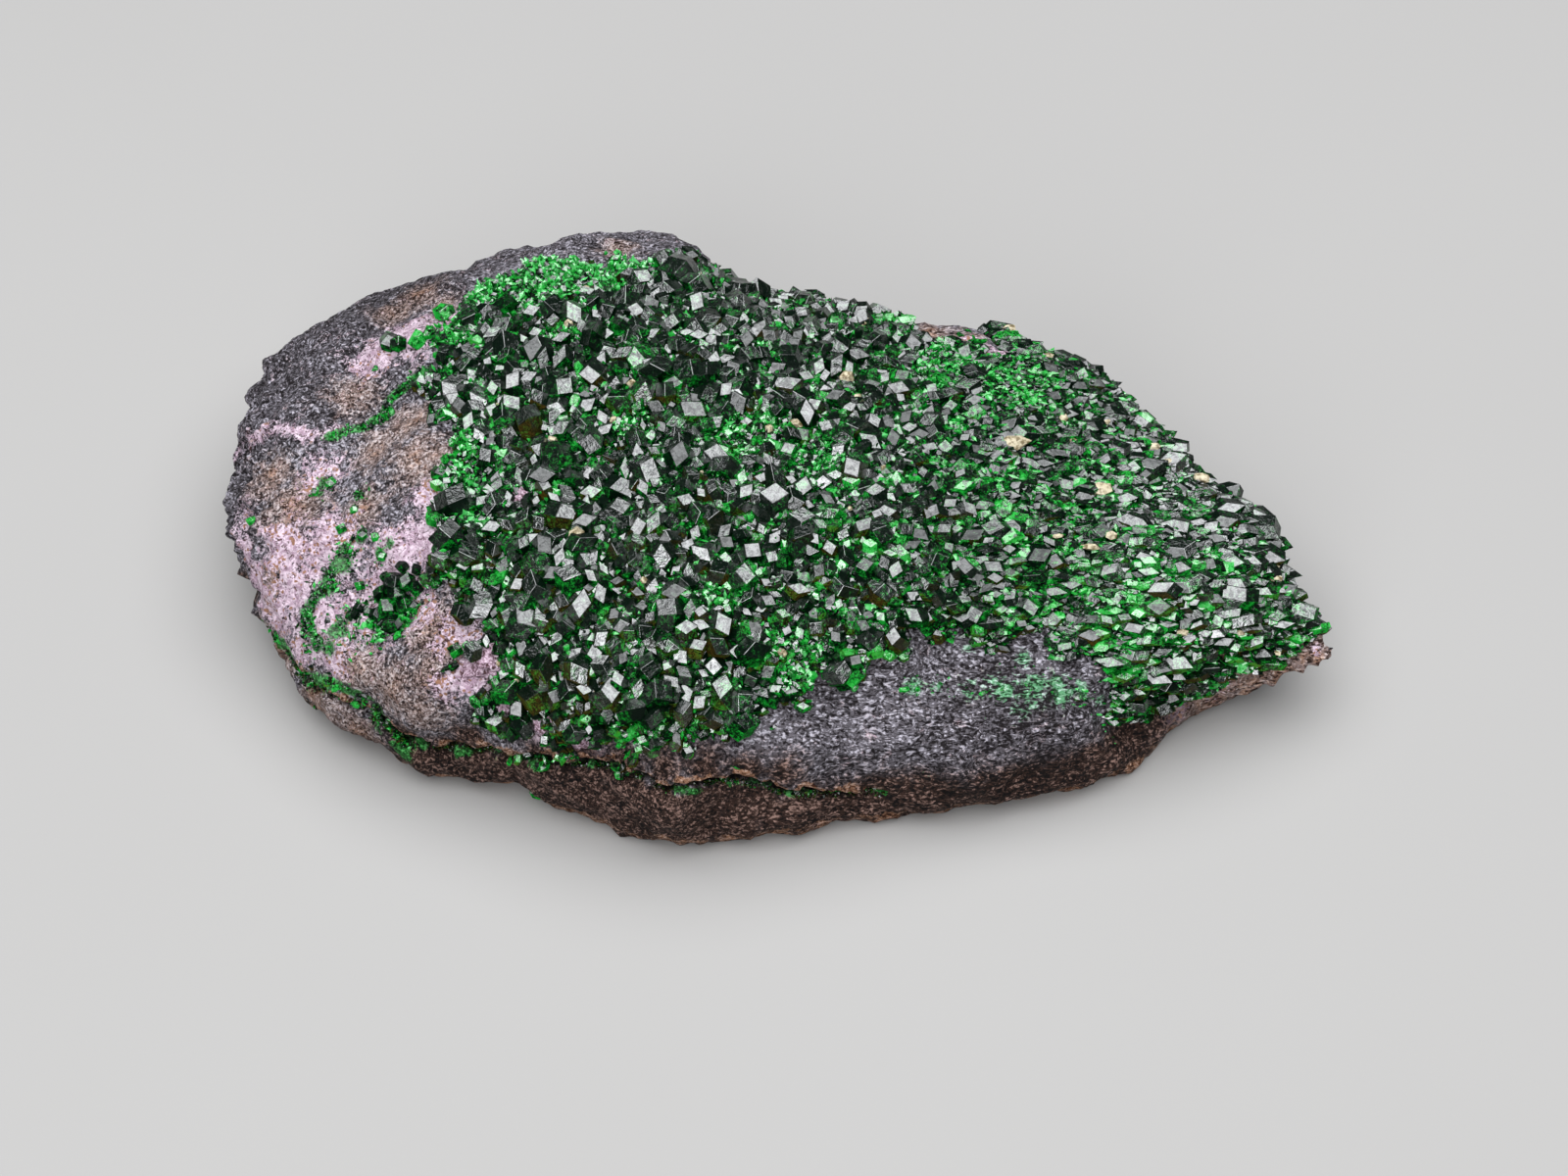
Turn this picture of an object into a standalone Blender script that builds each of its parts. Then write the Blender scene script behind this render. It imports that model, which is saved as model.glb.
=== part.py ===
"""A hand specimen of uvarovite: a crust of green garnet crystals on a chromite stone.

The stone is a loft along X. It lies on a flat broken face, with the crystal crust up
and a thin vein of the same mineral in a crack along its front. Sizes in the constants
are in millimetres, the scene is in metres, +Z is up and the front is -Y.
"""

import math

import bmesh
import bpy
import numpy as np
from mathutils import Euler, Vector
from mathutils.bvhtree import BVHTree

MM = 0.001

# Room left between the stone and what grows on it.
GAP = 0.35

# Where the middle of the specimen's box lies in the plan that the stations use.
PLAN_CENTRE = (-0.25, -4.96)

# The stone's cross sections from the blunt left end to the tip on the right: x, then
# y and z of the back, of the crest and of the front, then z of the underside.
STATIONS = (
    (-39.6, -2.0, 7.0, -2.0, 7.0, -2.0, 7.0, 7.0),
    (-39.0, 6.5, 8.0, -1.0, 10.5, -7.0, 5.5, 3.5),
    (-35.5, 13.5, 8.5, 0.0, 13.5, -14.5, 4.5, 0.5),
    (-27.0, 17.5, 9.5, 0.0, 16.0, -23.0, 4.0, -1.5),
    (-17.5, 19.0, 11.0, 0.0, 18.0, -25.5, 4.0, -2.5),
    (-8.5, 19.5, 12.0, -2.0, 18.5, -30.0, 4.0, -2.5),
    (-3.5, 13.8, 11.0, -4.0, 18.3, -29.5, 4.0, -2.5),
    (4.0, 11.5, 10.5, -6.0, 17.5, -28.0, 4.0, -2.5),
    (13.0, 10.0, 10.0, -8.0, 16.0, -26.5, 4.0, -2.5),
    (22.0, 6.0, 9.0, -10.0, 14.0, -24.0, 4.5, -2.0),
    (31.0, -3.2, 7.8, -12.0, 11.3, -18.0, 5.0, 0.0),
    (37.0, -13.2, 5.8, -14.8, 6.8, -17.0, 5.2, 3.2),
    (39.7, -15.2, 5.4, -15.2, 5.4, -15.2, 5.4, 5.4),
)
RINGS = 35
RING_POINTS = 28
TOP_ROUNDNESS = 0.9
BASE_ROUNDNESS = 0.62

# Broad lumps and hollows: centre x, y, z, reach, and height along the surface normal.
LUMPS = {
    "ridge left of the crust": (-26.0, -8.5, 16.0, 4.5, 0.9),
    "knob at the front left": (-24.5, -21.5, 10.5, 4.0, 1.2),
    "dip between ridge and knob": (-28.0, -16.5, 12.5, 3.5, -0.8),
    "scoop under the crust": (12.5, -22.0, 13.0, 5.5, -1.4),
    "hollow in the right flank": (24.0, -23.0, 6.5, 5.0, -0.9),
    "shoulder at the back": (-9.0, 17.5, 15.0, 5.0, 0.5),
    "dent in the left end": (-38.5, -9.0, 6.0, 2.5, -1.1),
    "swell at the back right": (11.0, 9.5, 11.5, 4.8, 1.1),
}

# Broken faces: a point on each face and its outward direction.
BREAKS = {
    "left end, under": ((-37.0, -1.0, 1.5), (-0.75, 0.0, -0.66)),
    "back left": ((-30.0, 16.0, 6.0), (-0.35, 0.85, -0.40)),
    "back middle": ((-8.0, 18.3, 6.0), (0.10, 0.92, -0.38)),
    "back right": ((16.0, 8.6, 5.0), (0.30, 0.85, -0.43)),
    "tip, under": ((34.0, -12.0, 3.2), (0.45, 0.10, -0.89)),
    "front lip": ((-14.0, -28.4, 1.2), (-0.10, -0.80, -0.59)),
    "front right, under": ((18.0, -25.4, 1.6), (0.15, -0.78, -0.61)),
}

# Unevenness of the broken stone: wavelength, height and seed of each layer.
UNEVENNESS = ((17.0, 0.35, 3), (8.0, 0.26, 5))
WAVES_PER_LAYER = 24

# Edge of the main crystal crust in plan: x, y.
CRUST_EDGE = (
    (-25.0, 2.0), (-24.3, 5.5), (-22.5, 8.5), (-18.0, 11.3), (-13.0, 13.4),
    (-7.5, 14.4), (-4.0, 14.0), (0.0, 12.5), (7.8, 11.0), (9.3, 7.8),
    (12.0, 6.6), (15.0, 5.4), (16.4, 6.0), (15.2, 7.6), (15.5, 12.0),
    (24.0, 8.0), (31.0, 0.0), (36.0, -8.5), (38.2, -13.0), (38.2, -15.6),
    (36.2, -16.4), (31.5, -17.6), (28.0, -20.2), (24.5, -22.2), (22.0, -21.6),
    (20.5, -20.2), (17.5, -19.7), (14.5, -20.3), (12.0, -19.7), (9.0, -21.3),
    (6.0, -23.4), (2.0, -24.8), (-1.0, -26.2), (-4.5, -27.6), (-8.5, -27.9),
    (-13.0, -26.8), (-17.0, -25.6), (-20.5, -24.2), (-22.0, -22.3), (-20.3, -20.2),
    (-22.3, -18.2), (-25.0, -14.6), (-23.2, -11.6), (-23.4, -9.0), (-22.5, -6.0),
    (-24.0, -2.4),
)
BED_THICKNESS = 1.1
BED_STEEPEST = 0.05
CRYSTAL_SPACING = 3.55
CRYSTAL_SIZES = (0.66, 0.95)
CRYSTAL_TRIES = 6000
CRYSTAL_SEED = 12

# How far above the stone a crystal's centre stands, by its size, and where its foot is
# cut off: in the bed for the crust, clear of the stone for the crystals on their own.
CENTRE_HEIGHT = 0.75
FOOT_IN_BED = 0.45
FOOT_ON_STONE = 0.02

# The crack round the front: x and z, seen from the front.
CRACK = (
    (-36.6, 4.2), (-34.5, 4.6), (-32.0, 5.2), (-29.0, 5.6), (-27.0, 5.0),
    (-24.5, 4.2), (-21.5, 4.6), (-17.5, 5.8), (-13.0, 6.9), (-10.0, 7.3),
    (-6.5, 7.2), (-3.5, 6.8), (0.5, 5.2), (4.0, 4.2), (7.5, 3.4),
)
CRACK_RADIUS = 0.75

# The stretches of the crack that crystals fill: from x, to x, and crystal size.
VEINS = {
    "vein_left": (-36.0, -26.5, 0.36),
    "vein_front": (-20.5, 5.5, 0.30),
}
VEIN_RADIUS = 0.32
VEIN_CRYSTAL_STEP = 2.7

# Crystals that stand apart on the stone: x, y and size of each.
GROUPS = {
    "vein_upper": (
        (-31.6, -2.8, 0.46), (-30.6, -2.9, 0.56), (-29.5, -2.7, 0.58),
        (-28.5, -1.9, 0.56), (-27.7, -0.9, 0.54),
    ),
    "cluster_left": (
        (-27.2, -15.6, 0.80), (-28.3, -16.4, 0.62), (-26.6, -17.0, 0.66),
        (-27.7, -17.6, 0.60), (-29.2, -17.2, 0.50),
    ),
    "trail_left": (
        (-30.6, -12.4, 0.50), (-31.0, -13.3, 0.54), (-31.6, -14.2, 0.52),
        (-32.3, -15.0, 0.54), (-32.7, -16.0, 0.50),
    ),
    "crystal_upper_left": ((-27.9, 5.2, 0.55),),
    "crystal_upper_middle": ((-26.3, 4.9, 0.36),),
    "crystal_upper_back": ((-24.9, 8.4, 0.44),),
}
GROUP_SEED = 29

COLOURS = {
    "chromite": ((0.105, 0.092, 0.098), 0.85, 0.05),
    "uvarovite": ((0.012, 0.115, 0.030), 0.15, 0.0),
}


def make_material(name):
    """A Principled surface with the finish's colour, roughness and metallic value."""
    colour, roughness, metallic = COLOURS[name]
    material = bpy.data.materials.new(name)
    material.use_nodes = True
    shader = material.node_tree.nodes["Principled BSDF"]
    shader.inputs["Base Color"].default_value = (*colour, 1.0)
    shader.inputs["Roughness"].default_value = roughness
    shader.inputs["Metallic"].default_value = metallic
    material.diffuse_color = (*colour, 1.0)
    return material


def along_stations(s):
    """The section at each s from 0 to 1: a Catmull-Rom curve through the stations."""
    rows = np.array(STATIONS)
    last = len(rows) - 1
    place = np.clip(s, 0.0, 1.0) * last
    i = np.minimum(place.astype(int), last - 1)
    f = (place - i)[..., None]
    p0, p1 = rows[np.maximum(i - 1, 0)], rows[i]
    p2, p3 = rows[i + 1], rows[np.minimum(i + 2, last)]
    bend = 2 * p0 - 5 * p1 + 4 * p2 - p3
    twist = 3 * p1 - p0 - 3 * p2 + p3
    return 0.5 * (2 * p1 + (p2 - p0) * f + bend * f**2 + twist * f**3)


def smooth_skin(s, t):
    """The stone before any unevenness. s runs from the left end to the tip.

    t runs round the section from the back over the crest (0.25) to the front (0.5)
    and back under the stone. Each quarter is a superellipse between two of the
    station's four points, so the skin is smooth where the quarters meet.
    """
    x, back_y, back_z, crest_y, crest_z, front_y, front_z, base_z = np.moveaxis(
        along_stations(s), -1, 0
    )
    across, rise = np.cos(2 * math.pi * t), np.sin(2 * math.pi * t)
    power = np.where(rise >= 0, TOP_ROUNDNESS, BASE_ROUNDNESS)
    side_y = np.where(across >= 0, back_y, front_y)
    side_z = np.where(across >= 0, back_z, front_z)
    end_z = np.where(rise >= 0, crest_z, base_z)
    y = crest_y + (side_y - crest_y) * np.abs(across) ** power
    z = side_z + (end_z - side_z) * np.abs(rise) ** power
    return np.stack([x, y, z], axis=-1)


def outward(s, t):
    """Unit normals of the smooth skin, from small steps along s and t."""
    step = 1e-3
    along = smooth_skin(s + step, t) - smooth_skin(s - step, t)
    around = smooth_skin(s, t + step) - smooth_skin(s, t - step)
    normal = np.cross(around, along)
    return normal / np.maximum(np.linalg.norm(normal, axis=-1, keepdims=True), 1e-12)


def waves(points, wavelength, seed):
    """Smooth unevenness of unit strength: a sum of plane waves in random directions."""
    random = np.random.default_rng(seed)
    directions = random.normal(size=(WAVES_PER_LAYER, 3))
    directions /= np.linalg.norm(directions, axis=1, keepdims=True)
    phases = random.uniform(0.0, 2 * math.pi, WAVES_PER_LAYER)
    angles = points @ directions.T * (2 * math.pi / wavelength) + phases
    return np.sin(angles).sum(axis=-1) * math.sqrt(2 / WAVES_PER_LAYER)


def stone_skin(s, t):
    """The stone's surface in mm: the smooth skin with lumps, unevenness and breaks.

    Breaks come last: whatever stands beyond a broken face is pressed back onto it, and
    the underside is pressed flat at z = 0.
    """
    points = smooth_skin(s, t)
    height = np.zeros(points.shape[:-1])
    for x, y, z, reach, rise in LUMPS.values():
        distance = np.linalg.norm(points - (x, y, z), axis=-1)
        height += rise * np.exp(-((distance / reach) ** 2))
    for wavelength, strength, seed in UNEVENNESS:
        height += strength * waves(points, wavelength, seed)
    points = points + outward(s, t) * height[..., None]
    for place, direction in BREAKS.values():
        normal = np.array(direction) / np.linalg.norm(direction)
        beyond = np.maximum((points - place) @ normal, 0.0)
        points = points - normal * beyond[..., None]
    points[..., 2] = np.maximum(points[..., 2], 0.0)
    return points


def to_world(points):
    """Plan millimetres to metres from the specimen's own origin."""
    return (np.asarray(points, float) - (*PLAN_CENTRE, 0.0)) * MM


def new_object(name, data, material, collection):
    """An object for a mesh or curve, with one material where it has one."""
    if material:
        data.materials.append(material)
    obj = bpy.data.objects.new(name, data)
    collection.objects.link(obj)
    return obj


def new_mesh(name, bm):
    """The bmesh's faces as a mesh. The bmesh is freed."""
    mesh = bpy.data.meshes.new(name)
    bm.to_mesh(mesh)
    bm.free()
    return mesh


def combine(target, operand, operation, overlapping=False):
    """A Boolean of the target with another object, whose shells may overlap."""
    modifier = target.modifiers.new(f"{operation.lower()} {operand.name}", "BOOLEAN")
    modifier.operation = operation
    modifier.object = operand
    modifier.solver = "EXACT"
    modifier.use_self = overlapping


def loft_stone():
    """The stone: rings of points along s, closed by a fan at each end."""
    s, t = np.meshgrid(
        np.linspace(0.0, 1.0, RINGS)[1:-1], np.arange(RING_POINTS) / RING_POINTS, indexing="ij"
    )
    rings = to_world(stone_skin(s, t))
    ends = to_world(stone_skin(np.array([0.0, 1.0]), np.zeros(2)))
    bm = bmesh.new()
    loops = [[bm.verts.new(point) for point in ring] for ring in rings]
    for first, second in zip(loops, loops[1:]):
        for i in range(RING_POINTS):
            j = (i + 1) % RING_POINTS
            bm.faces.new((first[i], first[j], second[j], second[i]))
    for end, loop in ((ends[0], loops[0]), (ends[1], loops[-1])):
        pole = bm.verts.new(end)
        for i in range(RING_POINTS):
            bm.faces.new((pole, loop[i], loop[(i + 1) % RING_POINTS]))
    bmesh.ops.triangulate(bm, faces=bm.faces[:])
    bmesh.ops.recalc_face_normals(bm, faces=bm.faces[:])
    bm.normal_update()
    return bm


def add_crystal(bm, size, turn, foot, normal, foot_height):
    """Add one rhombic dodecahedron, cut flat below by a plane above the stone.

    Its fourteen corners are those of a cube of twice the size and the six points over
    that cube's faces. The plane's height and the centre's height are measured from
    the foot, along the normal.
    """
    piece = bmesh.new()
    corners = [Vector((x, y, z)) for x in (-1, 1) for y in (-1, 1) for z in (-1, 1)]
    for axis in range(3):
        for side in (-2, 2):
            point = Vector((0, 0, 0))
            point[axis] = side
            corners.append(point)
    centre = foot + normal * (foot_height + CENTRE_HEIGHT * size) * MM
    for corner in corners:
        piece.verts.new(centre + turn @ corner * size * MM)
    bmesh.ops.convex_hull(piece, input=piece.verts[:])
    cut = bmesh.ops.bisect_plane(
        piece,
        geom=piece.verts[:] + piece.edges[:] + piece.faces[:],
        plane_co=foot + normal * foot_height * MM,
        plane_no=normal,
        clear_inner=True,
    )
    rim = [part for part in cut["geom_cut"] if isinstance(part, bmesh.types.BMEdge)]
    bmesh.ops.contextual_create(piece, geom=rim)
    bmesh.ops.dissolve_limit(
        piece, angle_limit=math.radians(1), verts=piece.verts[:], edges=piece.edges[:]
    )
    bmesh.ops.recalc_face_normals(piece, faces=piece.faces[:])
    scratch = new_mesh("crystal", piece)
    bm.from_mesh(scratch)
    bpy.data.meshes.remove(scratch)


def random_turn(random):
    """A rotation drawn at random."""
    return Euler(random.uniform(0.0, 2 * math.pi, 3)).to_matrix()


def as_mesh(obj, collection):
    """Replace a curve object by a closed mesh object of the same name."""
    name = obj.name
    depsgraph = bpy.context.evaluated_depsgraph_get()
    mesh = bpy.data.meshes.new_from_object(obj.evaluated_get(depsgraph))
    mesh.materials.clear()
    mesh.transform(obj.matrix_world)
    bpy.data.objects.remove(obj)
    bm = bmesh.new()
    bm.from_mesh(mesh)
    bmesh.ops.remove_doubles(bm, verts=bm.verts[:], dist=1e-6)
    bmesh.ops.recalc_face_normals(bm, faces=bm.faces[:])
    bm.to_mesh(mesh)
    bm.free()
    return new_object(name, mesh, None, collection)


def tube(name, points, radius, collection):
    """A round tube along the points, with filled ends."""
    curve = bpy.data.curves.new(name, "CURVE")
    curve.dimensions = "3D"
    curve.bevel_depth = radius * MM
    curve.bevel_resolution = 1
    curve.use_fill_caps = True
    spline = curve.splines.new("POLY")
    spline.points.add(len(points) - 1)
    for target, point in zip(spline.points, points):
        target.co = (*point, 1.0)
    return as_mesh(new_object(name, curve, None, collection), collection)


def inside(outline, x, y):
    """Whether a plan point lies inside a closed outline, by counting crossings."""
    crossings = 0
    for (x0, y0), (x1, y1) in zip(outline, outline[1:] + outline[:1]):
        if (y0 > y) != (y1 > y) and x < x0 + (y - y0) * (x1 - x0) / (y1 - y0):
            crossings += 1
    return crossings % 2 == 1


def drop_faces(bm, unwanted):
    """Delete faces, with the edges and corners that nothing else uses."""
    bmesh.ops.delete(bm, geom=unwanted, context="FACES")


def keep_patch(bm, start):
    """Keep the faces that can be reached from the start over edges, without its ears.

    An ear is a face that hangs on the rest by one edge or by a corner.
    """
    reached, waiting = {start}, [start]
    while waiting:
        for edge in waiting.pop().edges:
            fresh = [face for face in edge.link_faces if face not in reached]
            reached.update(fresh)
            waiting.extend(fresh)
    drop_faces(bm, [face for face in bm.faces if face not in reached])
    while True:
        ears = []
        for face in bm.faces:
            if sum(len(edge.link_faces) == 2 for edge in face.edges) < 2:
                ears.append(face)
        if not ears:
            return
        drop_faces(bm, ears)


def bed_skin(stone, outline):
    """The stone's upper skin inside the outline, lifted clear of the stone.

    It is the underside of the crust.
    """
    bm = stone.copy()
    bare = []
    for face in bm.faces:
        centre = face.calc_center_median()
        if face.normal.z < BED_STEEPEST or not inside(outline, centre.x, centre.y):
            bare.append(face)
    for vertex in bm.verts:
        vertex.co += vertex.normal * GAP * MM
    drop_faces(bm, bare)
    keep_patch(bm, min(bm.faces, key=lambda face: face.calc_center_median().xy.length))
    return bm


def scatter(skin, random):
    """Places on a skin, with its normals there, kept apart by the crystal spacing."""
    faces = skin.faces[:]
    areas = np.array([face.calc_area() for face in faces])
    picks = random.choice(len(faces), CRYSTAL_TRIES, p=areas / areas.sum())
    places = []
    for pick in picks:
        u, v = math.sqrt(random.random()), random.random()
        a, b, c = (vertex.co for vertex in faces[pick].verts)
        point = a * (1 - u) + b * (u * (1 - v)) + c * (u * v)
        if all((point - other).length > CRYSTAL_SPACING * MM for other, _ in places):
            places.append((point, faces[pick].normal.copy()))
    return places


def build_crust(stone, material, parts, cutters):
    """The crust: a bed that follows the stone, with crystals grown out of it all over."""
    random = np.random.default_rng(CRYSTAL_SEED)
    outline = tuple(tuple(to_world((x, y, 0.0))[:2]) for x, y in CRUST_EDGE)
    skin = bed_skin(stone, outline)
    crystals = bmesh.new()
    for place, normal in scatter(skin, random):
        size = random.uniform(*CRYSTAL_SIZES)
        add_crystal(crystals, size, random_turn(random), place, normal, FOOT_IN_BED)
    crust = new_object("uvarovite_crust", new_mesh("uvarovite_crust", skin), material, parts)
    thicken = crust.modifiers.new("bed thickness", "SOLIDIFY")
    thicken.thickness = BED_THICKNESS * MM
    thicken.offset = 1.0
    grown = new_object("crust_crystals", new_mesh("crust_crystals", crystals), None, cutters)
    combine(crust, grown, "UNION", overlapping=True)


def stand_on(tree, x, y):
    """The place just clear of the stone above a plan point, and the normal there."""
    start = Vector(to_world((x, y, 60.0)))
    hit, normal, _, _ = tree.ray_cast(start, Vector((0, 0, -1)))
    return hit + normal * GAP * MM, normal


def build_group(name, members, tree, random, material, parts, cutters):
    """Crystals that have grown into one another on the bare stone."""
    first, rest = bmesh.new(), bmesh.new()
    for i, (x, y, size) in enumerate(members):
        place, normal = stand_on(tree, x, y)
        target = rest if i else first
        add_crystal(target, size, random_turn(random), place, normal, FOOT_ON_STONE)
    group = new_object(name, new_mesh(name, first), material, parts)
    if len(members) > 1:
        more = f"{name}_more"
        others = new_object(more, new_mesh(more, rest), None, cutters)
        combine(group, others, "UNION", overlapping=True)
    else:
        rest.free()


def crack_line(tree):
    """Points along the crack on the stone's skin, with the normals there."""
    line = []
    for x, z in CRACK:
        start = Vector(to_world((x, -80.0, z)))
        hit, normal, _, _ = tree.ray_cast(start, Vector((0, 1, 0)))
        line.append((hit, normal))
    return line


def between(line, low, high, step):
    """Points and normals along the line from x low to x high, evenly spaced."""
    xs = [point.x for point, _ in line]
    count = max(2, round((high - low) / step) + 1)
    wanted = [to_world((x, 0.0, 0.0))[0] for x in np.linspace(low, high, count)]
    stretch = []
    for place in np.interp(wanted, xs, range(len(line))):
        i = min(int(place), len(line) - 2)
        point = line[i][0].lerp(line[i + 1][0], place - i)
        normal = line[i][1].lerp(line[i + 1][1], place - i).normalized()
        stretch.append((point, normal))
    return stretch


def build_vein(name, line, random, material, parts, cutters):
    """Crystals grown along the crack, on a string of garnet that lies in it."""
    low, high, size = VEINS[name]
    stretch = between(line, low, high, VEIN_CRYSTAL_STEP)
    string = tube(name, [point for point, _ in stretch], VEIN_RADIUS, parts)
    string.data.materials.append(material)
    crystals = bmesh.new()
    for point, normal in stretch:
        add_crystal(crystals, size, random_turn(random), point, normal, 0.0)
    grown = new_object(f"{name}_crystals", new_mesh(name, crystals), None, cutters)
    combine(string, grown, "UNION", overlapping=True)


def main():
    """Build everything that grows on the stone, then the stone with its crack."""
    for obj in list(bpy.data.objects):
        bpy.data.objects.remove(obj)
    parts = bpy.data.collections.new("uvarovite_specimen")
    cutters = bpy.data.collections.new("cutters")
    for collection in (parts, cutters):
        bpy.context.scene.collection.children.link(collection)
    chromite, uvarovite = make_material("chromite"), make_material("uvarovite")

    stone = loft_stone()
    tree = BVHTree.FromBMesh(stone)
    build_crust(stone, uvarovite, parts, cutters)
    random = np.random.default_rng(GROUP_SEED)
    for name, members in GROUPS.items():
        build_group(name, members, tree, random, uvarovite, parts, cutters)
    line = crack_line(tree)
    for name in VEINS:
        build_vein(name, line, random, uvarovite, parts, cutters)
    matrix = new_object("chromite_matrix", new_mesh("chromite_matrix", stone), chromite, parts)
    combine(matrix, tube("crack", [point for point, _ in line], CRACK_RADIUS, cutters), "DIFFERENCE")

    for obj in cutters.objects:
        obj.hide_render = True
        obj.display_type = "WIRE"


main()
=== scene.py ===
"""A hand specimen of uvarovite: a crust of green garnet crystals on a dark chromite stone.

Lengths are in millimetres in a plan frame: x runs to the right, y to the back and z up from the
surface that the stone rests on. The stone's skin is a function of s, from its left end to its
right, and of t, round each section from the back over the crest to the front and the base.
"""

import math

import bpy
import numpy as np
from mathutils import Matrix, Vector
from mathutils.kdtree import KDTree


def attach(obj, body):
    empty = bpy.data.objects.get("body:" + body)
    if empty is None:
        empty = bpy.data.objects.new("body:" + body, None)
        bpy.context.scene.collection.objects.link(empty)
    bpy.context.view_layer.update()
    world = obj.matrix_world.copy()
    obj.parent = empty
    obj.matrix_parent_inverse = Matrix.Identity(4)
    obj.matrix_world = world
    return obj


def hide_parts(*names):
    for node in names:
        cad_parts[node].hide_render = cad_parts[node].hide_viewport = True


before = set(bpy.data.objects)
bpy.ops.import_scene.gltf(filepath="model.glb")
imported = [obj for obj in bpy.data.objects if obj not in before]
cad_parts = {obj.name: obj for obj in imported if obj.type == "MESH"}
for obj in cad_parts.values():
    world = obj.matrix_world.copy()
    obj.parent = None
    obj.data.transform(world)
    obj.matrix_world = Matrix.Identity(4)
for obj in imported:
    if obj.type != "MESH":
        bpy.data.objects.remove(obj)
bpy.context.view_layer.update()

MM = 0.001
PLAN_CENTRE = (-0.25, -4.96)

# Each row is a section of the stone: its x, then y and z of its back, crest and front, and z of its base.
STATIONS = (
    (-39.6, -2.0, 7.0, -2.0, 7.0, -2.0, 7.0, 7.0),
    (-39.0, 6.5, 8.0, -1.0, 10.5, -7.0, 5.5, 3.5),
    (-35.5, 13.5, 8.5, 0.0, 13.5, -14.5, 4.5, 0.5),
    (-27.0, 17.5, 9.5, 0.0, 16.0, -23.0, 4.0, -1.5),
    (-17.5, 19.0, 11.0, 0.0, 18.0, -25.5, 4.0, -2.5),
    (-8.5, 19.5, 12.0, -2.0, 18.5, -30.0, 4.0, -2.5),
    (-3.5, 13.8, 11.0, -4.0, 18.3, -29.5, 4.0, -2.5),
    (4.0, 11.5, 10.5, -6.0, 17.5, -28.0, 4.0, -2.5),
    (13.0, 10.0, 10.0, -8.0, 16.0, -26.5, 4.0, -2.5),
    (22.0, 6.0, 9.0, -10.0, 14.0, -24.0, 4.5, -2.0),
    (31.0, -3.2, 7.8, -12.0, 11.3, -18.0, 5.0, 0.0),
    (37.0, -13.2, 5.8, -14.8, 6.8, -17.0, 5.2, 3.2),
    (39.7, -15.2, 5.4, -15.2, 5.4, -15.2, 5.4, 5.4),
)
TOP_ROUNDNESS = 0.9
BASE_ROUNDNESS = 0.62

# A lump is the place of its middle, its reach, and how far it rises.
LUMPS = {
    "ridge left of the crust": (-26.0, -8.5, 16.0, 4.5, 0.9),
    "knob at the front left": (-24.5, -21.5, 10.5, 4.0, 1.2),
    "dip between ridge and knob": (-28.0, -16.5, 12.5, 3.5, -0.8),
    "scoop under the crust": (12.5, -22.0, 13.0, 5.5, -1.4),
    "hollow in the right flank": (24.0, -23.0, 6.5, 5.0, -0.9),
    "shoulder at the back": (-9.0, 17.5, 15.0, 5.0, 0.5),
    "dent in the left end": (-38.5, -9.0, 6.0, 2.5, -1.1),
    "swell at the back right": (11.0, 9.5, 11.5, 4.8, 1.1),
}
# A break is a point of its plane and the way that the plane faces.
BREAKS = {
    "left end, under": ((-37.0, -1.0, 1.5), (-0.75, 0.0, -0.66)),
    "back left": ((-30.0, 16.0, 6.0), (-0.35, 0.85, -0.40)),
    "back middle": ((-8.0, 18.3, 6.0), (0.10, 0.92, -0.38)),
    "back right": ((16.0, 8.6, 5.0), (0.30, 0.85, -0.43)),
    "tip, under": ((34.0, -12.0, 3.2), (0.45, 0.10, -0.89)),
    "front lip": ((-14.0, -28.4, 1.2), (-0.10, -0.80, -0.59)),
    "front right, under": ((18.0, -25.4, 1.6), (0.15, -0.78, -0.61)),
}
# Wavelength, height and seed of each layer of unevenness.
UNEVENNESS = ((17.0, 0.35, 3), (8.0, 0.26, 5))
GRAIN = ((3.6, 0.10, 7), (1.7, 0.055, 9), (0.8, 0.045, 13))
WAVES_PER_LAYER = 24

# The crust's edge in plan, from the left, over the back, to the tip and back along the front.
CRUST_EDGE = (
    (-25.0, 2.0), (-24.3, 5.5), (-22.5, 8.5), (-18.0, 10.7), (-13.0, 12.4),
    (-7.5, 13.1), (-4.0, 13.2), (0.0, 12.5), (7.8, 11.0),
    (9.3, 7.8), (12.0, 6.6), (15.0, 5.4), (16.4, 6.0), (15.2, 7.6), (15.5, 12.0),
    (24.0, 8.0), (31.0, 0.0), (36.0, -8.5), (38.2, -13.0), (38.2, -15.6),
    (36.2, -16.4), (31.5, -17.6), (28.0, -20.2), (24.5, -22.2), (22.0, -21.6),
    (20.5, -20.2), (17.5, -19.7), (14.5, -20.3), (12.0, -19.7), (9.0, -21.3),
    (6.0, -23.4), (2.0, -24.8), (-1.0, -26.2), (-4.5, -27.6), (-8.5, -27.9),
    (-13.0, -26.8), (-17.0, -25.6), (-20.5, -24.2), (-22.0, -22.3), (-20.3, -20.2),
    (-22.3, -18.2), (-25.0, -14.6), (-23.2, -11.6), (-23.4, -9.0), (-22.5, -6.0), (-24.0, -2.4),
)

# The crust's lower edge on the steep front, as x and z.
CRUST_FRONT = (
    (-23.0, 11.6), (-21.4, 10.0), (-20.7, 8.2), (-19.0, 6.4), (-17.3, 6.0), (-14.7, 7.8), (-12.9, 8.6),
    (-7.7, 9.3), (-3.0, 9.8), (-2.1, 11.3), (2.4, 11.6), (7.1, 12.0), (9.2, 12.3), (11.3, 12.1), (14.0, 11.4),
    (16.7, 10.9), (19.5, 10.9), (21.6, 9.8), (23.1, 7.6), (24.6, 5.4), (28.3, 4.6), (31.1, 5.2), (34.6, 6.0),
    (37.4, 6.8), (39.5, 7.4),
)

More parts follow.
